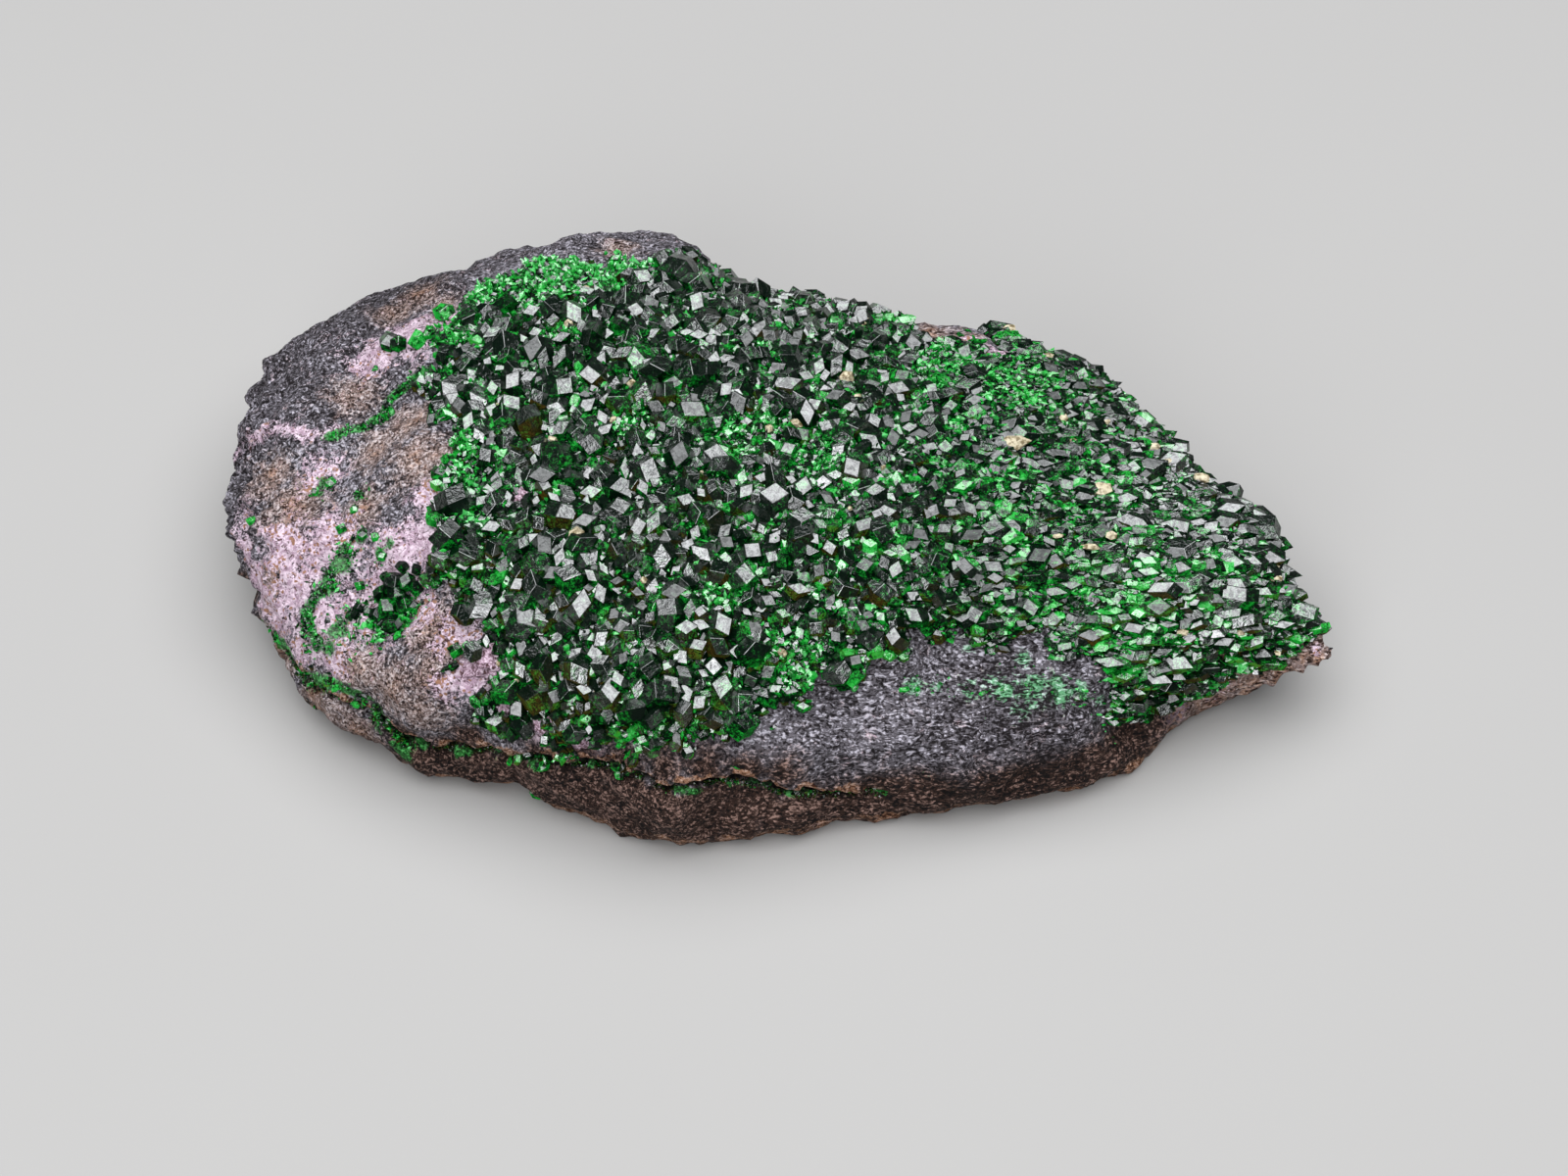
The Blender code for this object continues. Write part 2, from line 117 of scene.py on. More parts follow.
# The crack along the front, as x and z seen from there.
CRACK = (
    (-36.6, 4.2), (-34.5, 4.6), (-32.0, 5.2), (-29.0, 5.6), (-27.0, 5.0), (-24.5, 4.2),
    (-21.5, 4.6), (-17.5, 5.8), (-13.0, 6.9), (-10.0, 7.3), (-6.5, 7.2), (-3.5, 6.8),
    (0.5, 5.2), (4.0, 4.2), (7.5, 3.4),
)

# More lines of small crystals: the one left of the crack as x and z, the others as x and y.
VEIN_LEFT = (
    (-36.6, 4.6), (-35.3, 5.3), (-34.0, 4.6), (-32.3, 5.9), (-30.2, 6.7), (-28.6, 6.4), (-27.6, 4.6), (-26.4, 3.2),
)
VEIN_UPPER = (
    (-32.3, -2.5), (-31.0, -2.1), (-29.5, -1.9), (-28.6, -1.2), (-28.1, 0.3), (-27.3, 0.8), (-26.3, 1.1), (-25.1, 1.3),
)
TRAIL = (
    (-30.7, -12.2), (-30.9, -13.1), (-32.0, -13.4), (-31.7, -14.1), (-32.6, -14.4), (-33.4, -14.8),
    (-33.5, -15.5), (-32.9, -16.2), (-33.1, -16.6), (-32.5, -17.3),
)

# Places of what grows on and stains the stone, and of painted shade: x, y, z and reach of each patch.
LILAC_SEAM = ((-39.4, 1.2), (-38.0, 0.4), (-36.4, -0.7), (-35.0, -1.5), (-33.4, -2.2), (-31.4, -2.0))
LILAC = (
    (-29.2, 4.2, 15.6, 2.2), (-26.8, 5.7, 16.0, 2.4), (-24.3, 6.4, 16.4, 2.0), (-25.6, 3.6, 16.5, 1.3),
    (-32.7, -5.4, 13.2, 1.7), (-38.0, -6.5, 9.0, 1.5),
    (-35.2, -10.7, 11.2, 2.4), (-31.6, -11.9, 12.5, 2.8), (-27.2, -14.4, 13.6, 2.8), (-24.6, -13.6, 15.0, 2.2),
    (-34.5, -13.2, 9.7, 2.2), (-31.5, -16.8, 9.6, 2.6), (-28.6, -16.9, 11.2, 3.0), (-25.4, -17.6, 12.6, 1.8),
    (-24.6, -10.4, 16.0, 1.4), (-21.4, -22.5, 10.9, 1.8), (-20.1, -21.6, 11.5, 1.8), (-22.1, -20.2, 12.5, 1.8),
    (-16.4, -25.0, 8.6, 1.2), (-13.2, -26.7, 8.5, 1.4), (38.2, -15.6, 5.8, 0.5), (34.8, -17.0, 5.4, 0.7),
    (28.3, -19.3, 3.4, 1.3), (31.1, -18.0, 4.2, 1.2), (-15.2, -24.6, 9.6, 1.0),
    (-37.5, -11.0, 7.8, 2.2), (-35.8, -13.4, 7.2, 2.0),
    (-38.2, -8.6, 8.6, 1.6), (-33.6, -16.2, 7.4, 1.8), (-31.2, -18.6, 8.2, 1.4), (15.6, 5.2, 14.4, 1.6), (13.6, 6.6, 14.4, 1.2), (-18.0, -11.3, 16.7, 0.9), (-11.5, -10.6, 17.2, 0.8),
    (-12.6, -8.1, 17.6, 0.9), (-23.2, -22.8, 10.3, 1.2), (-18.7, -23.5, 9.4, 1.1),
)
RUST = (
    (-26.4, 11.2, 15.2, 1.9), (-28.2, 9.5, 14.8, 1.8), (-24.6, 8.8, 16.2, 1.2), (-30.6, 1.2, 15.2, 2.2),
    (-34.7, -7.9, 12.3, 3.0), (-36.0, -12.0, 9.5, 1.4), (-25.3, -7.3, 16.7, 2.6), (-26.3, -2.9, 16.1, 2.4),
    (-29.5, -9.8, 14.3, 2.0), (-22.8, -20.7, 12.0, 1.8), (-24.2, -19.2, 12.4, 2.4), (-29.2, -19.9, 9.0, 2.4),
    (-30.9, -10.7, 13.2, 1.4), (-36.5, -4.2, 11.6, 2.0), (37.8, -16.0, 5.6, 3.0), (31.0, -18.6, 4.2, 2.2),
    (11.0, 8.4, 13.6, 2.0), (13.5, 7.4, 13.8, 1.8), (-28.5, -4.5, 14.8, 2.2),
    (-27.0, -21.9, 9.2, 2.2), (-24.6, -23.0, 8.4, 2.0), (-30.0, -19.6, 8.6, 2.0), (-32.5, -18.2, 3.6, 3.0),
    (-29.5, -20.4, 2.8, 2.4), (-35.7, -13.4, 3.7, 3.0), (-24.2, -22.3, 10.8, 1.6), (-12.0, 15.4, 15.4, 1.6),
)
FILM = (
    (-32.6, -6.0, 13.0, 0.7), (-29.9, -8.3, 14.2, 0.5), (-29.4, -11.7, 13.4, 0.6), (-28.1, -13.5, 13.6, 0.6),
    (-30.8, -13.0, 12.0, 0.9), (-27.2, -13.2, 14.2, 0.5), (-32.8, -6.9, 13.0, 0.4), (-31.0, -17.2, 9.6, 0.9),
    (-31.7, -18.0, 8.8, 0.8), (-33.6, -16.6, 8.6, 0.9),
)
# Painted shade: dark umber patches along the front under the crust.
FRONT_SHADE = (
    (-13.2, -26.7, 8.0, 1.8), (-10.5, -27.6, 8.0, 2.1), (-7.7, -28.2, 8.3, 2.1), (-5.0, -28.1, 8.2, 2.2),
    (-2.3, -28.0, 7.8, 2.0), (0.4, -27.9, 7.4, 1.8), (-16.5, -26.2, 6.4, 1.8), (-22.0, -24.4, 6.0, 1.8),
    (-26.0, -22.4, 5.6, 1.6),
)
# Painted shade: the stone is painted darker at the back left, at the left end, and at the front right under the crust.
SHADE = ((-33.0, 8.0, 11.0, 9.0), (-27.0, 14.0, 12.0, 8.0), (-37.0, 0.0, 9.0, 6.0), (17.0, -24.5, 7.0, 6.0))
# And where the stone is worn lower.
WORN = ((-15.5, 16.3, 14.0, 3.0), (-9.5, 17.8, 14.0, 2.2), (-22.0, 15.0, 13.0, 3.0))
MINT = (
    (9.2, -23.3, 10.9, 0.9), (11.2, -23.1, 10.6, 0.8), (13.3, -22.9, 10.2, 1.0), (15.4, -22.7, 9.9, 1.4),
    (17.6, -22.6, 9.6, 1.5), (19.4, -22.5, 9.4, 1.4), (20.9, -22.4, 9.2, 1.1), (22.8, -22.6, 8.2, 0.9),
    (16.6, -23.6, 8.6, 1.0), (24.6, -22.0, 6.0, 1.4), (17.0, -20.9, 11.0, 0.8), (13.2, -20.6, 11.6, 0.7),
)

# Places in the crust, as x, y and reach, where it is fine and bright.
FINE = (
    (-16.8, 9.4, 3.6), (-21.1, 8.4, 2.0), (-13.0, 11.6, 2.6), (-11.2, 12.8, 2.0), (-22.1, -8.5, 1.6),
    (-22.3, -13.2, 1.4), (-23.6, 3.4, 1.8), (16.7, 1.3, 3.4), (11.8, 2.8, 2.6),
    (-2.4, -6.9, 2.2), (-10.7, -5.7, 1.5), (-15.9, 2.6, 1.3), (-4.4, -19.6, 1.4), (3.1, -8.9, 1.8),
    (1.0, -23.0, 2.0), (-22.5, -6.8, 1.6), (-21.7, -10.1, 1.2), (-16.1, 8.2, 2.4), (-1.0, -5.9, 1.6),
)
# And where it is bright with crystals of a middling size.
BRIGHT = (
    (19.7, -13.3, 3.4), (14.1, -11.3, 2.6), (24.4, -18.5, 3.4), (17.5, -17.3, 2.6), (7.2, -15.7, 2.0),
    (27.5, -15.0, 3.0), (21.5, -8.0, 2.6), (33.0, -14.0, 2.6), (24.0, -3.0, 2.0), (-8.0, 4.5, 2.0),
    (31.5, -16.5, 2.0), (36.0, -14.5, 1.6),
)
FACES_ROUND = 270
FACES_ALONG = 336
UNDERSIDE_STRIDE = 2.4


def along_stations(s):
    """The stations' numbers at s, on a Catmull-Rom curve through their rows."""
    rows = np.array(STATIONS)
    last = len(rows) - 1
    place = np.clip(s, 0.0, 1.0) * last
    i = np.minimum(place.astype(int), last - 1)
    f = (place - i)[..., None]
    p0, p1 = rows[np.maximum(i - 1, 0)], rows[i]
    p2, p3 = rows[i + 1], rows[np.minimum(i + 2, last)]
    bend = 2.0 * p0 - 5.0 * p1 + 4.0 * p2 - p3
    twist = 3.0 * p1 - p0 - 3.0 * p2 + p3
    return 0.5 * (2.0 * p1 + (p2 - p0) * f + bend * f**2 + twist * f**3)


def smooth_skin(s, t):
    """The stone without lumps: each section is four quarters of a superellipse.

    They run from back to crest, front and base. Across is the cosine of a turn of t and rise its
    sine, each to the power of the roundness.
    """
    x, back_y, back_z, crest_y, crest_z, front_y, front_z, base_z = np.moveaxis(along_stations(s), -1, 0)
    across, rise = np.cos(2.0 * math.pi * t), np.sin(2.0 * math.pi * t)
    power = np.where(rise >= 0.0, TOP_ROUNDNESS, BASE_ROUNDNESS)
    side_y = np.where(across >= 0.0, back_y, front_y)
    side_z = np.where(across >= 0.0, back_z, front_z)
    end_z = np.where(rise >= 0.0, crest_z, base_z)
    y = crest_y + (side_y - crest_y) * np.abs(across) ** power
    z = side_z + (end_z - side_z) * np.abs(rise) ** power
    return np.stack([x, y, z], axis=-1)


def outward(s, t):
    """The smooth skin's normal: the cross product of its steps round and along."""
    step = 1e-3
    around = smooth_skin(s, t + step) - smooth_skin(s, t - step)
    along = smooth_skin(np.minimum(s + step, 1.0), t) - smooth_skin(np.maximum(s - step, 0.0), t)
    normal = np.cross(around, along)
    return normal / np.maximum(np.linalg.norm(normal, axis=-1, keepdims=True), 1e-12)


def waves(points, wavelength, seed):
    """A sum of sine waves that run in random directions, of about one unit's height."""
    random = np.random.default_rng(seed)
    directions = random.normal(size=(WAVES_PER_LAYER, 3))
    directions /= np.linalg.norm(directions, axis=1, keepdims=True)
    phases = random.uniform(0.0, 2.0 * math.pi, WAVES_PER_LAYER)
    turns = points @ directions.T * (2.0 * math.pi / wavelength) + phases
    return np.sin(turns).sum(axis=-1) * math.sqrt(2.0 / WAVES_PER_LAYER)


def stone_skin(s, t):
    """The stone's skin as it is carved: lumps and long waves on the smooth skin, pressed back to each break's plane."""
    points, normals = smooth_skin(s, t), outward(s, t)
    height = np.zeros(points.shape[:-1])
    for *place, reach, rise in LUMPS.values():
        far = np.linalg.norm(points - np.array(place), axis=-1)
        height += rise * np.exp(-((far / reach) ** 2))
    for wavelength, strength, seed in UNEVENNESS:
        height += strength * waves(points, wavelength, seed)
    points = points + normals * height[..., None]
    for place, facing in BREAKS.values():
        facing = np.array(facing) / np.linalg.norm(facing)
        beyond = np.maximum((points - np.array(place)) @ facing, 0.0)
        points = points - beyond[..., None] * facing
    points[..., 2] = np.maximum(points[..., 2], 0.0)
    return points


def ease(low, high, value):
    """Runs smoothly from 0 at low to 1 at high: 3 f squared less 2 f cubed."""
    f = np.clip((value - low) / (high - low), 0.0, 1.0)
    return f * f * (3.0 - 2.0 * f)


def spread_evenly(count, strides):
    """Values from 0 to 1 that share a running length out evenly."""
    run = np.concatenate([[0.0], np.cumsum(strides)])
    return np.interp(np.linspace(0.0, run[-1], count), run, np.linspace(0.0, 1.0, len(run)))


def ring_places(count):
    """Values of s whose rings lie about as far apart everywhere, from pole to pole."""
    s, t = np.meshgrid(np.linspace(0.0, 1.0, 1201), np.linspace(0.0, 0.6, 25), indexing="ij")
    strides = np.linalg.norm(np.diff(smooth_skin(s, t), axis=0), axis=-1).max(axis=1)
    return spread_evenly(count, strides)


def round_places(count):
    """Values of t about as far apart everywhere, with wider strides over the underside."""
    s, t = np.meshgrid(np.linspace(0.15, 0.85, 15), np.linspace(0.0, 1.0, 1201), indexing="ij")
    strides = np.linalg.norm(np.diff(smooth_skin(s, t), axis=1), axis=-1).mean(axis=0)
    middles = (t[0, 1:] + t[0, :-1]) / 2.0
    below = (middles > 0.57) & (middles < 0.96)
    return spread_evenly(count + 1, np.where(below, strides / UNDERSIDE_STRIDE, strides))[:-1]


def from_line(x, z, line):
    """Distance of x, z from a line of points, and how far above the line, in whole arrays."""
    nearest, above = np.full(x.shape, np.inf), np.zeros(x.shape)
    for (x0, z0), (x1, z1) in zip(line, line[1:]):
        length = math.hypot(x1 - x0, z1 - z0)
        ux, uz = (x1 - x0) / length, (z1 - z0) / length
        run = np.clip((x - x0) * ux + (z - z0) * uz, 0.0, length)
        dx, dz = x - x0 - run * ux, z - z0 - run * uz
        far = np.hypot(dx, dz)
        closer = far < nearest
        nearest = np.where(closer, far, nearest)
        above = np.where(closer, ux * dz - uz * dx, above)
    return nearest, above


def inside_crust(points):
    """Distance from the crust's edge, positive inside, in plan or up the steep front. Waves make it ragged."""
    x, y = points[..., 0], points[..., 1]
    closed = CRUST_EDGE + CRUST_EDGE[:1]
    far, _ = from_line(x, y, closed)
    crossings = np.zeros(x.shape, int)
    for (x0, y0), (x1, y1) in zip(closed, closed[1:]):
        if y0 != y1:
            crossings += ((y0 > y) != (y1 > y)) & (x < x0 + (y - y0) * (x1 - x0) / (y1 - y0))
    signed = np.where(crossings % 2 == 1, far, -far)
    above_edge = points[..., 2] - np.interp(x, *np.array(CRUST_FRONT).T)
    signed = np.where(y < -15.0, np.minimum(signed, above_edge), signed)
    ragged = 0.45 * waves(points, 3.1, 17) + 0.25 * waves(points, 1.3, 19)
    return signed + ragged


def patches(points, places):
    """How much of each point lies in the patches: the largest of their bell curves."""
    cover = np.zeros(points.shape[:-1])
    for *place, reach in places:
        away = points[..., : len(place)] - np.array(place)
        cover = np.maximum(cover, np.exp(-((away / reach) ** 2).sum(axis=-1)))
    return cover


class Socket:
    """One output of a material's nodes. Maths on it adds Math nodes."""

    def __init__(self, nodes, output):
        self.nodes = nodes
        self.output = output

    def maths(self, operation, *others, clamp=False):
        settings = {"operation": operation, "use_clamp": clamp}
        return self.nodes.make("ShaderNodeMath", settings, dict(enumerate((self, *others))))

    def __add__(self, other):
        return self.maths("ADD", other)

    __radd__ = __add__

    def __sub__(self, other):
        return self.maths("SUBTRACT", other)

    def __rsub__(self, other):
        return self.nodes.make("ShaderNodeMath", {"operation": "SUBTRACT"}, {0: other, 1: self})

    def __mul__(self, other):
        return self.maths("MULTIPLY", other)

    __rmul__ = __mul__

    def ramp(self, low, high):
        """0 below low and 1 above high, eased between."""
        settings = {"interpolation_type": "SMOOTHSTEP"}
        return self.nodes.make("ShaderNodeMapRange", settings, {0: self, 1: low, 2: high})


class Nodes:
    """A material and the nodes that it is made of."""

    def __init__(self, name):
        self.material = bpy.data.materials.new(name)
        self.material.use_nodes = True
        self.tree = self.material.node_tree
        self.tree.nodes.clear()
        self.place = self.make("ShaderNodeTexCoord", output="Object")

    def make(self, kind, settings=None, inputs=None, output=0):
        """Adds a node: its settings first, then its inputs' values or links."""
        node = self.tree.nodes.new(kind)
        for name, value in (settings or {}).items():
            setattr(node, name, value)
        for key, value in (inputs or {}).items():
            if isinstance(value, Socket):
                self.tree.links.new(value.output, node.inputs[key])
            else:
                node.inputs[key].default_value = value
        return Socket(self, node.outputs[output])

    def noise(self, size, detail=2.0, roughness=0.5, distortion=0.0, place=None):
        """A noise whose lumps are about size millimetres across."""
        inputs = {
            "Vector": place or self.place, "Scale": 1.0 / (size * MM), "Detail": detail,
            "Roughness": roughness, "Distortion": distortion,
        }
        return self.make("ShaderNodeTexNoise", None, inputs)

    def cells(self, size, output="Distance", feature="F1"):
        """Cells about size millimetres across."""
        inputs = {"Vector": self.place, "Scale": 1.0 / (size * MM)}
        return self.make("ShaderNodeTexVoronoi", {"feature": feature}, inputs, output)

    def cell_number(self, size):
        """A random number from 0 to 1 for each cell."""
        colour = self.cells(size, "Color")
        return self.make("ShaderNodeSeparateColor", None, {0: colour})

    def mark(self, name):
        """A number that the mesh carries."""
        return self.make("ShaderNodeAttribute", {"attribute_name": name}, output="Fac")

    def blend(self, factor, first, second):
        """The first colour where the factor is 0, the second where it is 1."""
        first = first if isinstance(first, Socket) else (*first, 1.0)
        second = second if isinstance(second, Socket) else (*second, 1.0)
        inputs = {0: factor, 6: first, 7: second}
        return self.make("ShaderNodeMix", {"data_type": "RGBA"}, inputs, 2)

    def grains(self, value, dark, middle, light):
        """Dark, middle and light grains, shared out by a value that lies about a half."""
        lower = self.blend(value.ramp(0.41, 0.49), dark, middle)
        return self.blend(value.ramp(0.52, 0.61), lower, light)

    def surface(self, colour, roughness, height, depth, ior, specular):
        """A surface with a bump of the given depth in millimetres."""
        bump = self.make(
            "ShaderNodeBump", None, {"Strength": 1.0, "Distance": depth * MM, "Height": height}, "Normal"
        )
        inputs = {
            "Base Color": colour, "Roughness": roughness, "Normal": bump,
            "IOR": ior, "Specular IOR Level": specular,
        }
        return self.make("ShaderNodeBsdfPrincipled", None, inputs)

    def done(self, surface):
        """Ends the material with a surface."""
        target = self.tree.nodes.new("ShaderNodeOutputMaterial")
        self.tree.links.new(surface.output, target.inputs["Surface"])
        return self.material


def chromite_material():
    """Granular chromite: dark, middle and light grains, in other colours where the mesh's marks say.

    Towards the right the grains are drawn out along the stone.
    """
    n = Nodes("chromite")
    drawn_out = n.make("ShaderNodeMapping", None, {"Vector": n.place, "Scale": (0.36, 1.0, 1.0)})
    x = n.make("ShaderNodeSeparateXYZ", None, {0: n.place}, 0)
    right = x.ramp(-0.012, 0.006)
    short, long = n.noise(0.32, 4.0, 0.68, 1.5), n.noise(0.27, 3.5, 0.62, 1.3, drawn_out)
    fine = short * (1.0 - right) + (long * 0.85 + 0.072) * right
    speck = n.cell_number(0.20)
    broad = n.noise(5.0, 3.0, 0.6)
    ragged = n.noise(1.4, 6.0, 0.80, 0.5)
    # Painted shade: the shade mark shifts the grains towards dark.
    grain = fine * 0.86 + speck * 0.14 + (broad - 0.5) * 0.14 - n.mark("shade") * 0.05
    colour = n.grains(grain, (0.008, 0.006, 0.007), (0.094, 0.086, 0.098), (0.430, 0.410, 0.465))

    rust = (n.mark("rust") + (ragged - 0.5) * 2.6 + (fine - 0.5) * 1.6).ramp(0.15, 0.80)
    stain = n.grains(grain, (0.022, 0.010, 0.006), (0.230, 0.160, 0.140), (0.580, 0.500, 0.490))
    colour = n.blend(rust * 0.85, colour, stain)
    ochre = (n.mark("rust") * 0.45 + ragged + (fine - 0.5) * 0.6).ramp(0.88, 1.08)
    orange = n.grains(grain, (0.020, 0.006, 0.002), (0.230, 0.110, 0.055), (0.480, 0.300, 0.200))
    colour = n.blend(ochre * 0.8, colour, orange)

    lilac = (n.mark("lilac") + (ragged - 0.5) * 2.4 + (fine - 0.5) * 1.8).ramp(0.28, 0.66)
    swirl = n.noise(0.8, 5.0, 0.7, 1.5)
    bloom = n.blend(swirl.ramp(0.40, 0.60), (0.400, 0.275, 0.350), (0.740, 0.600, 0.690))
    fleck = (speck + n.mark("rust") * 0.3).ramp(0.93, 0.99)
    bloom = n.blend(fleck, bloom, (0.290, 0.150, 0.095))
    pits = (grain + n.mark("lilac") * 0.04).ramp(0.41, 0.49)
    colour = n.blend(lilac, colour, n.blend(pits, (0.070, 0.032, 0.030), bloom))

    # Partly stain, partly painted shade and a painted reflection of the table: a dark umber where this mark is high.
    brown_and_shade = (n.mark("brown_and_shade") + (ragged - 0.5) * 1.4 + (fine - 0.5) * 1.0).ramp(0.15, 0.95)
    umber_and_shade = n.grains(grain, (0.002, 0.001, 0.001), (0.026, 0.011, 0.006), (0.250, 0.150, 0.118))
    colour = n.blend(brown_and_shade * 0.95, colour, umber_and_shade)

    rim = (n.mark("rim") + (ragged - 0.5) * 2.4).ramp(0.55, 0.85)
    peach = n.grains(grain, (0.060, 0.020, 0.008), (0.330, 0.170, 0.100), (0.600, 0.420, 0.330))
    colour = n.blend(rim * 0.8, colour, peach)

    film = (n.mark("film") + (ragged - 0.5) * 1.6 + (fine - 0.5) * 1.3).ramp(0.42, 0.60)
    moss = n.grains(grain, (0.002, 0.012, 0.003), (0.012, 0.130, 0.018), (0.070, 0.380, 0.095))
    colour = n.blend(film * 0.9, colour, moss)
    mint = (n.mark("mint") + (ragged - 0.5) * 2.2 + (fine - 0.5) * 2.6).ramp(0.58, 0.92)
    pale = n.grains(grain, (0.010, 0.080, 0.020), (0.090, 0.330, 0.140), (0.330, 0.560, 0.400))
    colour = n.blend(mint * 0.75, colour, pale)

    # Painted shade: the bottom of the crack is painted nearly black.
    deep = n.mark("deep").ramp(0.30, 0.80)
    colour = n.blend(deep, colour, (0.002, 0.001, 0.001))
    return n.done(n.surface(colour, 0.80 - grain * 0.2, grain, 0.28, 1.5, 0.14))


def garnet_material():
    """Green garnet: nearly black, with a vivid fire in some of it, and facets from glossy to clouded.

    A facet that faces up mirrors the lamp over it, in a mottled way and some more than others, and
    the others are dull. The fire is brighter on facets that face down: painted light. On facets that
    face down, marked crystals take a khaki tint: partly the strands' own khaki and partly painted light.
    """
    n = Nodes("uvarovite")
    tone, facet, olive_and_painted_light, shine, up = (n.mark(name) for name in ("tone", "facet", "olive_and_painted_light", "shine", "up"))
    down = 1.0 - up.ramp(-0.3, 0.7)
    inner = n.cell_number(0.40)
    cloud = n.noise(0.42, 3.0, 0.65, 0.6)
    scratch = n.noise(0.15, 3.0, 0.65, 1.5)
    broken = inner * 0.22 + cloud.ramp(0.36, 0.60) * 0.24 + scratch.ramp(0.38, 0.60) * 0.34
    # Painted light: the fire is brighter on facets that face down.
    fire = (broken + tone * 0.72 + facet * 0.18 + down * 0.20).ramp(0.70, 1.20)
    colour = n.blend(fire, (0.0004, 0.0040, 0.0016), (0.0100, 0.3700, 0.0320))
    # Painted highlight: pale mint where the tone and the broken pattern run high.
    mint = (tone * 0.8 + broken).ramp(1.00, 1.50)
    colour = n.blend(mint * 0.5, colour, (0.180, 0.560, 0.240))
    # Partly the strands' own khaki and partly painted light: a khaki tint on the down-facing facets of marked crystals.
    colour = n.blend(olive_and_painted_light * down * scratch.ramp(0.35, 0.65), colour, (0.120, 0.070, 0.010))
    mirror = (0.42 + facet.ramp(0.18, 0.48) * 0.58) * shine
    mottle = 0.40 + cloud.ramp(0.36, 0.56) * 0.35 + scratch.ramp(0.38, 0.58) * 0.25
    gloss = up.ramp(0.20, 0.62) * mirror * mottle
    dull = n.surface(colour, 0.5, cloud, 0.05, 1.6, 0.02)
    bright = n.surface(colour, 0.06 + facet * 0.10 + cloud * 0.12, cloud, 0.05, 2.0, 0.85)
    return n.done(n.make("ShaderNodeMixShader", None, {0: gloss, 1: dull, 2: bright}))


def bed_material():
    """The ground that the crystals stand in: green sand, nearly black in much of it as painted shade, lilac where the
    stone shows.
    """
    n = Nodes("uvarovite_bed")
    fine = n.noise(0.30, 4.0, 0.68, 1.2)
    speck = n.cell_number(0.26)
    lilac = (n.mark("lilac") + (fine - 0.5) * 0.9).ramp(0.40, 0.60)
    bloom = n.grains(fine, (0.070, 0.035, 0.038), (0.340, 0.230, 0.290), (0.640, 0.510, 0.590))
    # Painted shade: the sand's near-black grains also stand for the shade between the crystals.
    green = n.blend((speck * 0.6 + fine * 0.4).ramp(0.45, 0.90), (0.0005, 0.0040, 0.0015), (0.014, 0.200, 0.030))
    colour = n.blend(lilac, green, bloom)
    return n.done(n.surface(colour, 0.6 - speck * 0.2, speck + fine, 0.10, 1.6, 0.05))


def cream_material():
    """Cream and ochre grains between the crystals."""
    n = Nodes("cream_grains")
    fine = n.noise(0.35, 3.0, 0.6)
    colour = n.blend(fine.ramp(0.36, 0.60), (0.120, 0.085, 0.030), (0.500, 0.440, 0.300))
    return n.done(n.surface(colour, 0.35 + fine * 0.3, fine, 0.08, 1.6, 0.5))


def floor_material():
    """A pale matt table."""
    n = Nodes("table")
    tint = n.noise(60.0, 2.0, 0.5)
    colour = n.blend(tint, (0.305, 0.300, 0.290), (0.320, 0.315, 0.305))
    return n.done(n.surface(colour, 0.7 + tint * 0.05, tint, 0.01, 1.45, 0.2))


def put_mesh(name, corners, loops, counts, material, nodes, marks=None, face_marks=None, smooth=False):
    """A piece from whole arrays: corners in plan millimetres, faces as corner numbers end to end."""
    mesh = bpy.data.meshes.new(name)
    mesh.vertices.add(len(corners))
    placed = (corners - np.array([*PLAN_CENTRE, 0.0])) * MM
    mesh.vertices.foreach_set("co", placed.astype(np.float32).ravel())
    mesh.loops.add(len(loops))
    mesh.loops.foreach_set("vertex_index", loops.astype(np.int32))
    mesh.polygons.add(len(counts))
    starts = np.concatenate([[0], np.cumsum(counts)[:-1]])
    mesh.polygons.foreach_set("loop_start", starts.astype(np.int32))
    mesh.polygons.foreach_set("use_smooth", np.full(len(counts), smooth))
    for domain, values_by_name in (("POINT", marks), ("FACE", face_marks)):
        for mark, values in (values_by_name or {}).items():
            mesh.attributes.new(mark, "FLOAT", domain).data.foreach_set("value", values.astype(np.float32))
    mesh.update(calc_edges=True)
    mesh.materials.append(material)
    piece = bpy.data.objects.new(name, mesh)
    bpy.context.scene.collection.objects.link(piece)
    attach(piece, "root")
    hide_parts(*nodes)
    return piece


def near_line(points, line, front, reach):
    """A bell curve of the distance from a line: one in x and z on the front faces, or one in the plan above."""
    far, _ = from_line(points[..., 0], points[..., 2 if front else 1], line)
    seen = ease(-4.0, -9.0, points[..., 1]) if front else ease(7.0, 8.5, points[..., 2])
    return seen * np.exp(-((far / reach) ** 2))


def crack_relief(points, normals):
    """How far the crack moves the skin, how deep in it a point is, and how near its upper rim.

    Only the front faces: a narrow bell curve sinks the crack's line, the stone above it stands
    out as a lip and the slab below it stands proud.
    """
    far, above = from_line(points[..., 0], points[..., 2], CRACK)
    front = ease(-0.05, -0.35, normals[..., 1]) * ease(-10.0, -14.0, points[..., 1])
    ends = ease(-38.0, -34.0, points[..., 0]) * ease(8.5, 4.0, points[..., 0])
    wander = 0.25 * waves(points, 2.4, 23) + 0.13 * waves(points, 0.9, 25)
    deep = np.exp(-(((above + wander) / 0.42) ** 2)) * np.exp(-((far / 1.6) ** 2)) * front * ends
    rim = np.exp(-(((above + wander - 0.65) / 0.38) ** 2)) * front * ends
    slab = ease(0.0, -0.7, above + wander) * ease(-6.5, -2.0, above) * front * ends
    slab = slab * ease(4.0, -14.0, points[..., 0])
    return 0.22 * rim - 0.95 * deep + 0.45 * slab, deep, rim


